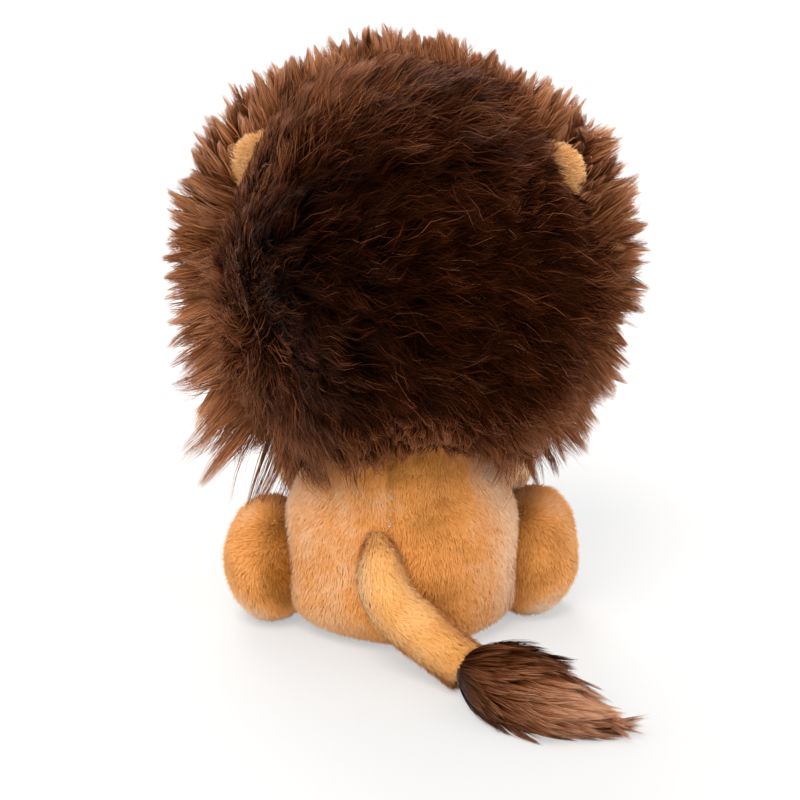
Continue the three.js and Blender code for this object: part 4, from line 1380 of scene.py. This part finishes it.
@dataclass
class Head:
    """The head's ball with its face: muzzle, chin, nose, mouth and eyes.

    Attributes:
        centre: Middle of the ball, in mm.
        axes: Half axes of the ball, in mm.
        neck_plane: Height of the neck's opening, in mm.
        muzzle_drop: How far the lobes lie below the middle, in mm.
        eye_turn: How far the eyes stand to the side, in degrees.
        eye_lift: How far the eyes stand above the middle, in degrees.
        pile: The face's short pile.
        fine: The muzzle's finer pile.
    """

    centre: Triple = (0.0, -2.0, 157.0)
    axes: Triple = (62.0, 58.0, 60.0)
    neck_plane: float = 101.7
    muzzle_drop: float = 16.0
    eye_turn: float = 22.0
    eye_lift: float = 6.0
    pile: Pile = Pile(
        length=3.2, spread=0.25, width=0.45, lift=(48, 26), wander=14, stray=12, locks=(2.6,),
        gather=(0.25,), contrast=0.08, mottle=0.06, roundness=0.12, softness=0.85, seed=27,
    )
    fine: Pile = Pile(
        length=2.0, spread=0.25, width=0.36, lift=(50, 28), wander=14, stray=12, contrast=0.08,
        mottle=0.08, softness=0.7, seed=28,
    )

    def front(self, drop: float) -> float:
        """The Y of the ball's front at a drop below its middle."""
        return self.centre[1] - self.axes[1] * math.sqrt(1 - (drop / self.axes[2]) ** 2)

    def spot(self, side: Side) -> tuple[Array, Array]:
        """Where an eye sits, and the way that it faces."""
        turn, lift = math.radians(self.eye_turn) * side.value, math.radians(self.eye_lift)
        way = np.array(
            [math.sin(turn) * math.cos(lift), -math.cos(turn) * math.cos(lift), math.sin(lift)]
        )
        return way * self.axes + self.centre, unit(way / np.array(self.axes))

    def build(self) -> None:
        """Makes the ball, its stuffing and the face."""
        centre, axes = np.array(self.centre), np.array(self.axes)
        points, faces = ball(centre, axes - 0.6, 64, 40)
        points[:, 2] = np.maximum(points[:, 2], self.neck_plane + 0.2)
        cover = WORKSHOP.piece("head_cover", (points, faces), TAN_BACKING, "head", ["head_skin"])
        points, faces = ball(centre, axes - 2.4)
        points[:, 2] = np.maximum(points[:, 2], self.neck_plane + 0.6)
        fibre = lumpy((points, faces), 47, 0.3)
        WORKSHOP.piece("head_fibre", fibre, STUFFING, "head", ["head_stuffing"])
        roots = Roots.over(cover, 90_000, 57)
        roots = roots.where((roots.at[:, 1] < -36) & (roots.at[:, 2] > 100))
        for side in Side:
            eye = self.spot(side)[0]
            roots = roots.where(np.linalg.norm(roots.at - eye, axis=1) > 6.8)
        flow = unit((roots.at - self.centre) * [1, 0.2, 1] + [0, 0, 4])
        shade = 0.66 + 0.1 * Drift(66, 14).at(roots.at)
        self.pile.grow("face_pile", roots, flow, TAN_PILE, "head", shade)
        self.build_muzzle()
        self.build_mouth()
        for side in Side:
            self.build_eye(side)

    def lobe(self, side: Side) -> Array:
        """The middle of one of the muzzle's lobes."""
        return np.array(
            [11.0 * side.value, self.front(self.muzzle_drop), self.centre[2] - self.muzzle_drop]
        )

    def build_muzzle(self) -> None:
        """Makes the two lobes, the chin and the nose."""
        lobes = [ball(self.lobe(side), np.array([16, 15, 12.5]) - 0.4) for side in Side]
        first, second = lobes
        faces = [*first[1], *[tuple(i + len(first[0]) for i in face) for face in second[1]]]
        muzzle = WORKSHOP.piece(
            "muzzle_cover",
            (np.vstack([first[0], second[0]]), faces),
            CREAM_BACKING,
            "head",
            ["muzzle"],
        )
        roots = Roots.over(muzzle, 16_000, 58)
        roots = roots.where(roots.at[:, 1] < -50)
        nose = np.array([0, self.front(16) - 11.25, self.centre[2] - 7])
        roots = roots.where(np.linalg.norm((roots.at - nose) / [9.4, 8, 6.4], axis=1) > 1)
        flow = (roots.at - nose) * [1, 0, 1] + [0, 2, -2]
        self.fine.grow("muzzle_pile", roots, flow, CREAM_PILE, "head")
        middle = np.array([0, self.front(29), self.centre[2] - 29])
        chin = WORKSHOP.piece(
            "chin_cover", ball(middle, np.array([12.6, 9.6, 8.6])), CREAM_BACKING, "head", ["chin"]
        )
        roots = Roots.over(chin, 7_000, 59)
        flow = (roots.at - middle) * [1, 0, 1] + [0, 0, -6]
        self.fine.grow("chin_pile", roots, flow, CREAM_PILE, "head")
        points, faces = ball(np.zeros(3), np.array([9, 7, 6]), 48, 28)
        points[:, 0] *= 1 - 0.28 * smooth_step(-points[:, 2], -1, 6)
        groove = np.exp(-((points[:, 0] / 1.6) ** 2)) * smooth_step(-points[:, 2], -2, 4)
        points[:, 1] += 1.2 * groove
        WORKSHOP.piece("nose_cover", (points + nose, faces), NOSE_SATIN, "head", ["nose"])

    def build_mouth(self) -> None:
        """Makes the mouth's thread down the cleft and under each lobe."""
        points, faces = [], []
        across, up = np.array(
            [(-0.69, 0.1), (-0.69, -0.42), (-0.34, -0.7), (0.02, -0.76), (0.36, -0.68)]
        ).T
        deep = -15.4 * np.sqrt(np.maximum(1 - across**2 - up**2, 0))
        for side in Side:
            route = self.lobe(side) + np.stack([side.value * 16 * across, deep, 12.9 * up], axis=1)
            rows = np.hstack([route, np.full((5, 2), 0.85)])
            tube = Tube(rows, np.array([0, 1.0, 0]), 0.8, 0.8, rings=40, around=12)
            skin = tube.skin()
            offset = sum(len(p) for p in points)
            points.append(skin[0])
            faces += [tuple(i + offset for i in face) for face in skin[1]]
        skin = (np.vstack(points), faces)
        WORKSHOP.piece("mouth_thread", skin, MOUTH_THREAD, "head", ["mouth_stitch"])

    def build_eye(self, side: Side) -> None:
        """Makes a domed eye on its shank and dresses its washer."""
        at, way = self.spot(side)
        turns = np.linspace(0, math.pi / 2, 16)[:-1]
        dome = [(6.5 * math.cos(turn), 0.8 + 3.8 * math.sin(turn)) for turn in turns]
        shank = [(0.3, -10), (1.3, -10), (1.6, -9.7), (1.6, 0), (6.2, 0), (6.45, 0.3)]
        points, faces = turned(np.array([*shank, *dome, (0.1, 4.6)]), (1, 1, 1), 48)
        turn = np.array(Vector((0, 0, 1)).rotation_difference(Vector(way)).to_matrix())
        points = points @ turn.T + at + way * 0.3
        name = f"eye_{side.word}"
        WORKSHOP.piece(f"eye_dome_{side.word}", (points, faces), EYE_PLASTIC, "head", [name])
        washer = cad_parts[f"eye_washer_{side.word}"]
        washer.data.materials.clear()
        washer.data.materials.append(WORKSHOP.material(WASHER_PLASTIC))


@dataclass
class Ear:
    """One ear: a rounded flap in the parting of the mane, with its lining.

    Attributes:
        side: Which of the two it is.
        lift: How far it points up, in degrees.
        length: Length of the flap, in mm.
        reach: How far it stands out of the head, in mm.
        half_width: Half width of the flap, in mm.
        thickness: Thickness of the flap, in mm.
        pile: The flap's short pile.
    """

    side: Side
    lift: float = 27.0
    length: float = 36.0
    reach: float = 14.0
    half_width: float = 15.0
    thickness: float = 7.0
    pile: Pile = Pile(2.4, 0.25, 0.42, (40, 20), wander=14, stray=12, seed=29)

    def way(self) -> Array:
        """The way that the ear points."""
        lift = math.radians(self.lift)
        return np.array([self.side.value * math.cos(lift), 0.0, math.sin(lift)])

    def flap(self, share: float, rise: float, forward: float) -> Skin:
        """The flap or its lining, a flattened ball tilted to the ear's lift, with the lining set a
        little towards the front.
        """
        sign, lift = self.side.value, math.radians(self.lift)
        out = self.way()
        skull = 1 / math.hypot(out[0] / 62, out[2] / 60)
        centre = np.array([0, -2.0, 157.0]) + out * (skull + self.reach - self.length / 2)
        centre[1] = -12.0 - forward
        axes = np.array(
            [self.length / 2 * share, self.thickness / 2 + rise, self.half_width * share]
        )
        points, faces = ball(np.zeros(3), axes, 40, 26)
        turn = np.array(Matrix.Rotation(-sign * lift, 3, "Y"))
        return points @ turn.T + centre, faces

    def build(self) -> None:
        """Makes the flap and the lining with their pile."""
        word = self.side.word
        flap = WORKSHOP.piece(
            f"ear_cover_{word}", self.flap(1, -0.4, 0), TAN_BACKING, "head", [f"ear_{word}"]
        )
        lining = WORKSHOP.piece(
            f"ear_inside_{word}",
            self.flap(0.78, -1.2, 2.4),
            CREAM_BACKING,
            "head",
            [f"ear_lining_{word}"],
        )
        roots = Roots.over(flap, 9_000, 71)
        flow = np.tile(self.way(), (len(roots.at), 1))
        shade = 0.6 + 0.1 * Drift(67, 9).at(roots.at)
        self.pile.grow(f"ear_pile_{word}", roots, flow, TAIL_PILE, "head", shade)
        roots = Roots.over(lining, 5_000, 72)
        roots = roots.where(roots.out[:, 1] < 0)
        flow = np.tile(self.way(), (len(roots.at), 1))
        self.pile.grow(f"ear_lining_pile_{word}", roots, flow, CREAM_PILE, "head")


@dataclass
class Mane:
    """The mane: a dark hood over the back of the head and a paler ruff round the face.

    Attributes:
        centre: Middle of the hood's core, in mm.
        core: Half axes of the hood's core, in mm.
        parting: The Y where hood and ruff meet, in mm.
        hem: Height of the mane's lower edge, in mm.
        combing: How the hood's nap lies: x and z of a place, and its angle seen from behind.
        height: Height of the ruff's middle, in mm.
        swells: How wide the ruff is at angles above the level, in degrees.
        hood: The hood's long pile.
        loose: Paler single strands over the hood, whose paler colour partly paints the hood's
            highlights.
        ruff: The ruff's long pile.
    """

    centre: Triple = (0.0, -2.0, 148.0)
    core: Triple = (67.0, 69.0, 76.0)
    parting: float = -12.0
    hem: float = 90.0
    combing: tuple[tuple[float, float, float], ...] = (
        (60, 200, 95), (50, 206, 75), (34, 212, 54), (0, 222, 36), (-36, 213, 22),
        (-58, 196, 8), (62, 176, 75), (44, 180, 40), (20, 190, 24), (-10, 190, 10),
        (-40, 180, 0), (-64, 166, 0), (67, 150, 130), (50, 152, 15), (25, 160, 2),
        (-10, 155, -8), (-45, 146, -13), (-66, 140, -6), (64, 124, 200), (48, 124, -60),
        (22, 130, -22), (-10, 124, -20), (-40, 118, -28), (-60, 114, -28), (54, 102, -118),
        (30, 100, -96), (8, 100, -85), (-14, 100, -85), (-36, 100, -62), (-54, 100, -46),
    )
    height: float = 150.0
    swells: tuple[tuple[float, float], ...] = (
        (-90, 1.04), (-60, 1.12), (-45, 1.16), (-30, 1.13), (-15, 1.09), (0, 1.08),
        (25, 1.09), (45, 1.03), (60, 0.99), (75, 1.0), (90, 1.01),
    )
    hood: Pile = Pile(
        length=26, spread=0.25, width=0.44, lift=(46, 2), steps=5, wander=26, wander_reach=30,
        stray=7, locks=(5.2, 2.0), gather=(0.66, 0.6), wave=3.6, tousle=26, contrast=0.42,
        mottle=0.3, frizz=0.3, roundness=0.5, seed=81,
    )
    loose: Pile = replace(
        hood, length=29, spread=0.3, width=0.22, lift=(42, 2), wander_reach=34, stray=14,
        locks=(5.0,), gather=(0.5,), wave=3.0, tousle=20, contrast=0.2, mottle=0.25, frizz=0.6,
    )
    ruff: Pile = replace(
        hood, length=27, spread=0.3, width=0.4, lift=(8, 2), wander=12, wander_reach=14, stray=5,
        locks=(5.6, 2.0), gather=(0.86, 0.66), wave=0.8, tousle=9, mottle=0.26, frizz=0.16, seed=82,
    )

    def build(self) -> None:
        """Makes the hood and the ruff."""
        self.build_hood()
        self.build_ruff()

    def build_hood(self) -> None:
        """Makes the hood's core and its long pile, which is combed away from the whorl."""
        centre, core = np.array(self.centre), np.array(self.core)
        points, faces = ball(centre, core, 72, 48)
        points = points + unit(points - centre) * Drift(34, 30).at(points)[:, None] * 2.0
        points[:, 2] = np.maximum(points[:, 2], self.hem)
        points[:, 1] = np.maximum(points[:, 1], self.parting)
        shell = WORKSHOP.piece("hood_core", (points, faces), HOOD_BACKING, "head", ["mane_hood"])
        roots = Roots.over(shell, 74_000, 73)
        y, z = roots.at[:, 1:].T
        roots = roots.where((y > self.parting + 0.5) & (z > self.hem + 0.5))
        self.grow_hood("hood_pile", roots, self.hood, -0.13)
        loose = Roots.over(shell, 16_000, 75)
        y, z = loose.at[:, 1:].T
        loose = loose.where((y > self.parting + 8) & (z > self.hem + 20))
        # The loose strands are paler, partly the fur's own paler strands and partly painted
        # highlights.
        self.grow_hood("hood_loose", loose, self.loose, 0.14)

    def combed(self, at: Array) -> Array:
        """The way that the hood's nap lies at each place, between the combing's nearest rows."""
        table = np.array(self.combing, float)
        gaps = (at[:, None, [0, 2]] - table[None, :, :2]) ** 2
        weights = (gaps.sum(axis=2) + 30) ** -1.6
        angles = np.radians(table[:, 2])
        ways = np.stack([-np.cos(angles), 0 * angles, np.sin(angles)], axis=1)
        return (weights @ ways) / weights.sum(axis=1, keepdims=True)

    def grow_hood(self, name: str, roots: Roots, pile: Pile, tone: float) -> None:
        """Grows a kind of the hood's pile, shorter beside the ears and the ruff and at the nape.

        Args:
            name: First part of the pieces' names.
            roots: The roots.
            pile: The kind of pile.
            tone: Shade of the pile before its unevenness, from 0 to 1.
        """
        x, y, z = roots.at.T
        flow = self.combed(roots.at)
        messy = np.exp(-(((x - 50) / 20) ** 2) - ((z - 134) / 28) ** 2)
        flow = unit(flow + 1.1 * messy[:, None] * Drift(77, 8).vectors(roots.at) + 0.02)
        low = smooth_step(-z, -130, -98)
        tips = roots.at + flow * 20
        shield = np.zeros(len(x))
        for sign in (1, -1):
            for spot in (roots.at, tips):
                gap = np.hypot(spot[:, 0] - EAR_PLACE * sign, spot[:, 2] - 188)
                cleared = np.exp(-((gap / (15.5 + sign)) ** 2)) * (x * sign > 0)
                shield = np.maximum(shield, cleared)
        nape = np.exp(-(((x + 12) / 17) ** 4)) * smooth_step(-z, -132, -108)
        clump = Drift(70, 15).at(roots.at)
        left = smooth_step(x, 40, 60) * (1 - low)
        rim = smooth_step(-y, -26, 0) * (1 - low)
        spine = np.exp(-(((x - 14) / 11) ** 2)) * smooth_step(-z, -122, -100)
        stretch = 1 + (0.06 + 0.26 * clump) * low - 0.86 * nape - 0.42 * spine
        stretch *= (1 - 0.4 * left) * (1 - 0.5 * rim) * (1 - 0.74 * shield) * (1 - 0.1 * messy)
        lean = np.degrees(np.arcsin(np.clip(dot(flow, roots.out)[:, 0], 0, 1)))
        rise = 0.35 * lean + 16 * left - 12 * low - 8 * messy
        edge = smooth_step(np.hypot(x, z - 150), 42, 68)
        # Painted light: paler at the top, where light falls on the strands, and towards the rim,
        # partly the ruff's paler tone and partly painted rim light round a darker middle.
        shade = tone + 0.1 * smooth_step(z, 180, 212) + 0.08 * Drift(68, 18).at(roots.at)
        shade += 0.36 * edge
        shade += 0.8 * smooth_step(-z, -126, -100) + 0.14 * smooth_step(-z, -156, -122)
        # Paler on the left and at the upper left, partly the ruff's paler tone and partly painted
        # backlight; the messy patch is painted paler to lift the shade that its end-on hair falls
        # in.
        shade += 0.3 * left + 0.46 * messy + 0.6 * smooth_step(x + z, 205, 242)
        pile.grow(name, roots, flow, HOOD_PILE, "head", shade, stretch, rise)

    def ruff_profile(self) -> Array:
        """Outline of the ruff's core as (radius, depth along the head's axis) rows."""
        rows = [(58, -12.5), (69, -13), (73, -19), (73.5, -28), (69, -38), (61, -45), (52, -47)]
        return smooth_line(np.array([*rows, (44, -46)], float), 22)

    def build_ruff(self) -> None:
        """Makes the ruff's core, a ring round the head."""
        around = 84
        angles = np.linspace(0, 2 * math.pi, around, endpoint=False)
        ring = np.stack([np.cos(angles), np.zeros(around), np.sin(angles)], axis=1)
        inner = np.array([(40.0, -46.0), (38.0, -40.0), (52.0, -14.0)])
        outline = np.vstack([self.ruff_profile(), inner])
        turns = np.degrees(np.arcsin(ring[:, 2]))
        swell = np.interp(turns, *zip(*self.swells)) + 0.04 * ring[:, 0] + 0.01
        rings = ring[None] * outline[:, None, :1] * swell[None, :, None]
        rings = rings + np.array([0, 1, 0]) * outline[:, None, 1:] + [0, 0, self.height]
        faces = []
        for i in range(len(rings)):
            for j in range(around):
                k, n = (j + 1) % around, (i + 1) % len(rings)
                faces.append((i * around + j, i * around + k, n * around + k, n * around + j))
        points = rings.reshape(-1, 3)
        outwards = unit(points - [0, -30, self.height])
        points = points + outwards * Drift(35, 22).at(points)[:, None] * 1.2
        points[:, 2] = np.maximum(points[:, 2], self.hem - 2)
        shell = WORKSHOP.piece("ruff_core", (points, faces), RUFF_BACKING, "head", ["mane_ruff"])
        self.grow_ruff(shell)

    def grow_ruff(self, shell: bpy.types.Object) -> None:
        """Grows the ruff's pile away from the face, longest at its lower left.

        Args:
            shell: The ruff's core.
        """
        middle = np.array([0, -30, self.height])
        roots = Roots.over(shell, 88_000, 74)
        radius = np.linalg.norm((roots.at - middle) * [1, 0, 1], axis=1)
        roots = roots.where((radius > 39.5) & (roots.at[:, 2] > self.hem - 1))
        arm = (roots.at - middle) * [1, 0, 1]
        radius, arm = np.linalg.norm(arm, axis=1), unit(arm)
        x, y, z = roots.at.T
        out_y = roots.out[:, 1]
        up, down = smooth_step(arm[:, 2], 0, 0.9), smooth_step(-arm[:, 2], 0.2, 0.75)
        left = smooth_step(x, -20, 20)
        climb = (0.55 + 0.75 * left) * smooth_step(z, 135 + 15 * left, 190)
        sweep = np.interp(y, (-50, -34, -28, -14), (-0.3, -0.1, 0.15, 0.45))
        sweep = sweep + 0.25 * Drift(73, 9).at(roots.at)
        flow = unit(arm + np.stack([0 * up, sweep, climb - 0.3 * down], axis=1))
        rear = smooth_step(out_y, -0.5, 0.2)
        stretch = 0.9 - 0.16 * smooth_step(-radius, -60, -44)
        stretch += (0.16 + 0.26 * left + 0.3 * Drift(71, 16).at(roots.at)) * down
        stretch += 0.3 * smooth_step(x, 18, 40) * smooth_step(-z, -104, -92)
        stretch += 0.34 * smooth_step(-arm[:, 2], 0.55, 0.85) * rear
        stretch += 0.2 * left * smooth_step(-arm[:, 2], 0.5, 0.75) * rear
        stretch -= 0.14 * smooth_step(arm[:, 2], 0.5, 0.8)
        room = (SIDE_REACH + 2 - x) / (0.86 * self.ruff.length * np.maximum(flow[:, 0], 0.1))
        stretch = np.clip(np.minimum(stretch, room), 0.4, 1.8)
        rise = 0.92 * np.degrees(np.arcsin(np.clip(dot(flow, roots.out)[:, 0], 0, 1)))
        rise += 34 * smooth_step(-out_y, 0.6, 0.95) * smooth_step(-radius, -64, -50)
        rise -= 12 * smooth_step(out_y, 0.3, 0.9)
        stretch *= 1 - 0.34 * smooth_step(dot(arm, roots.out)[:, 0], 0.4, 0.95)
        for spot in (roots.at, roots.at + flow * 14):
            gap = np.hypot(np.abs(spot[:, 0]) - EAR_PLACE, spot[:, 2] - 186)
            stretch *= 1 - 0.7 * np.exp(-((gap / 13) ** 2)) * smooth_step(y, -24, -15)
        shade = 0.6 + 0.12 * Drift(69, 12).at(roots.at) + 0.22 * smooth_step(radius, 50, 74)
        behind = smooth_step(out_y, 0, 0.7) * (1 - 0.4 * np.maximum(up, left))
        shade -= 0.08 * down + behind * (0.06 + 0.42 * smooth_step(-radius, -84, -68))
        self.ruff.grow("ruff_pile", roots, flow, RUFF_PILE, "head", shade, stretch, rise)


@dataclass
class Studio:
    """The pale floor, the soft light and the photograph's camera.

    Attributes:
        eye: The camera's place, in mm.
        target: What it looks at, in mm.
        lens: Its lens on a 36 mm sensor.
    """

    eye: Triple = (-116.9, 837.5, 401.8)
    target: Triple = (0.8, 0.0, 94.0)
    lens: float = 101.25

    def build(self) -> None:
        """Makes the camera, the world, the lamps and the floor."""
        scene = bpy.context.scene
        scene.view_settings.view_transform = "Standard"
        camera = bpy.data.objects.new("camera", bpy.data.cameras.new("camera"))
        scene.collection.objects.link(camera)
        eye, target = (Vector(place) * MM for place in (self.eye, self.target))
        self.aim(camera, eye, target)
        camera.data.lens = self.lens
        camera.data.sensor_width = 36
        camera.data.clip_start, camera.data.clip_end = 0.01, 20
        scene.camera = camera
        self.build_world()
        self.lamp("key_lamp", (0.22, 0.8, 1.3), 34, 2.1, "fffaf2")
        self.lamp("front_lamp", (0.35, -0.95, 0.95), 36, 1.7, "ffffff")
        self.lamp("side_lamp", (-1.0, 0.5, 0.6), 36, 0.7, "fcfcff")
        self.lamp("fill_lamp", (-0.1, 1.0, 0.16), 36, 0.5, "ffffff")
        self.build_floor()

    @staticmethod
    def aim(thing: bpy.types.Object, place: Vector, target: Vector) -> None:
        """Puts a camera or a lamp in its place and turns it to a target, both in m."""
        thing.location = place
        thing.rotation_mode = "QUATERNION"
        thing.rotation_quaternion = (target - place).to_track_quat("-Z", "Y")

    @staticmethod
    def lamp(name: str, place: Triple, width: float, strength: float, tint: str) -> None:
        """Hangs a distant soft lamp, as wide in the sky as an angle in degrees."""
        light = bpy.data.lights.new(name, "SUN")
        light.angle, light.energy = math.radians(width), strength
        light.color = linear(tint)[:3]
        thing = bpy.data.objects.new(name, light)
        bpy.context.scene.collection.objects.link(thing)
        Studio.aim(thing, Vector(place), Vector((0, 0, 0.11)))

    @staticmethod
    def camera_share(tree: bpy.types.NodeTree) -> bpy.types.NodeSocket:
        """1 for rays that show the background as it is, which are camera, gloss and glass rays."""
        path = tree.nodes.new("ShaderNodeLightPath")
        total = path.outputs["Is Camera Ray"]
        for name in ("Is Glossy Ray", "Is Transmission Ray"):
            most = tree.nodes.new("ShaderNodeMath")
            most.operation = "MAXIMUM"
            tree.links.new(total, most.inputs[0])
            tree.links.new(path.outputs[name], most.inputs[1])
            total = most.outputs[0]
        return total

    def show(
        self,
        tree: bpy.types.NodeTree,
        lighting: bpy.types.Node,
        seen: bpy.types.Node,
        out: bpy.types.Node,
    ) -> None:
        """Sends one shader to the rays that light the toy and another to those that show."""
        mix = tree.nodes.new("ShaderNodeMixShader")
        sources = self.camera_share(tree), lighting.outputs[0], seen.outputs[0]
        for source, target in zip(sources, mix.inputs, strict=True):
            tree.links.new(source, target)
        tree.links.new(mix.outputs[0], out.inputs["Surface"])

    def build_world(self) -> None:
        """Makes a white world that lights the toy at a plain level."""
        world = bpy.data.worlds.new("studio")
        bpy.context.scene.world = world
        world.use_nodes = True
        tree = world.node_tree
        light = tree.nodes["Background"]
        light.inputs["Color"].default_value = (1, 1, 1, 1)
        light.inputs["Strength"].default_value = 0.82
        white = tree.nodes.new("ShaderNodeBackground")
        white.inputs["Strength"].default_value = 1.0
        white.inputs["Color"].default_value = (1, 1, 1, 1)
        self.show(tree, light, white, tree.nodes["World Output"])

    def build_floor(self) -> None:
        """Makes a floor that looks white and keeps the toy's soft shadow."""
        mesh = bpy.data.meshes.new("floor")
        corners = [(-6, -6, 0), (6, -6, 0), (6, 6, 0), (-6, 6, 0)]
        mesh.from_pydata(corners, [], [(0, 1, 2, 3)])
        material = bpy.data.materials.new("floor_white")
        material.use_nodes = True
        tree = material.node_tree
        tree.nodes.clear()
        glow = tree.nodes.new("ShaderNodeEmission")
        glow.inputs["Strength"].default_value = 0.47
        dim, plain = (tree.nodes.new("ShaderNodeBsdfDiffuse") for _ in range(2))
        dim.inputs["Color"].default_value = (0.36, 0.36, 0.36, 1)
        plain.inputs["Color"].default_value = (0.6, 0.6, 0.6, 1)
        shown = tree.nodes.new("ShaderNodeAddShader")
        tree.links.new(dim.outputs[0], shown.inputs[0])
        tree.links.new(glow.outputs[0], shown.inputs[1])
        self.show(tree, plain, shown, tree.nodes.new("ShaderNodeOutputMaterial"))
        mesh.materials.append(material)
        floor = bpy.data.objects.new("floor", mesh)
        bpy.context.scene.collection.objects.link(floor)


def main() -> None:
    """Builds the studio and the toy, piece by piece."""
    logging.basicConfig(level=logging.INFO, format="%(message)s")
    builders: list[tuple[str, Callable[[], None]]] = [
        ("studio", Studio().build),
        ("torso", Torso().build),
        ("left foreleg", Foreleg(Side.LEFT, 11).build),
        ("right foreleg", Foreleg(Side.RIGHT, 0).build),
        ("left hind leg", HindLeg(Side.LEFT, 52.8, 8.4, 20.5, 5).build),
        ("right hind leg", HindLeg(Side.RIGHT, 50.4, -9.6, 18, 12, 18.4, 25.2).build),
        ("tail", Tail().build),
        ("head", Head().build),
        ("left ear", Ear(Side.LEFT).build),
        ("right ear", Ear(Side.RIGHT).build),
        ("mane", Mane().build),
    ]
    for name, build in builders:
        build()
        log.info("built the %s", name)


if __name__ == "__main__":
    main()
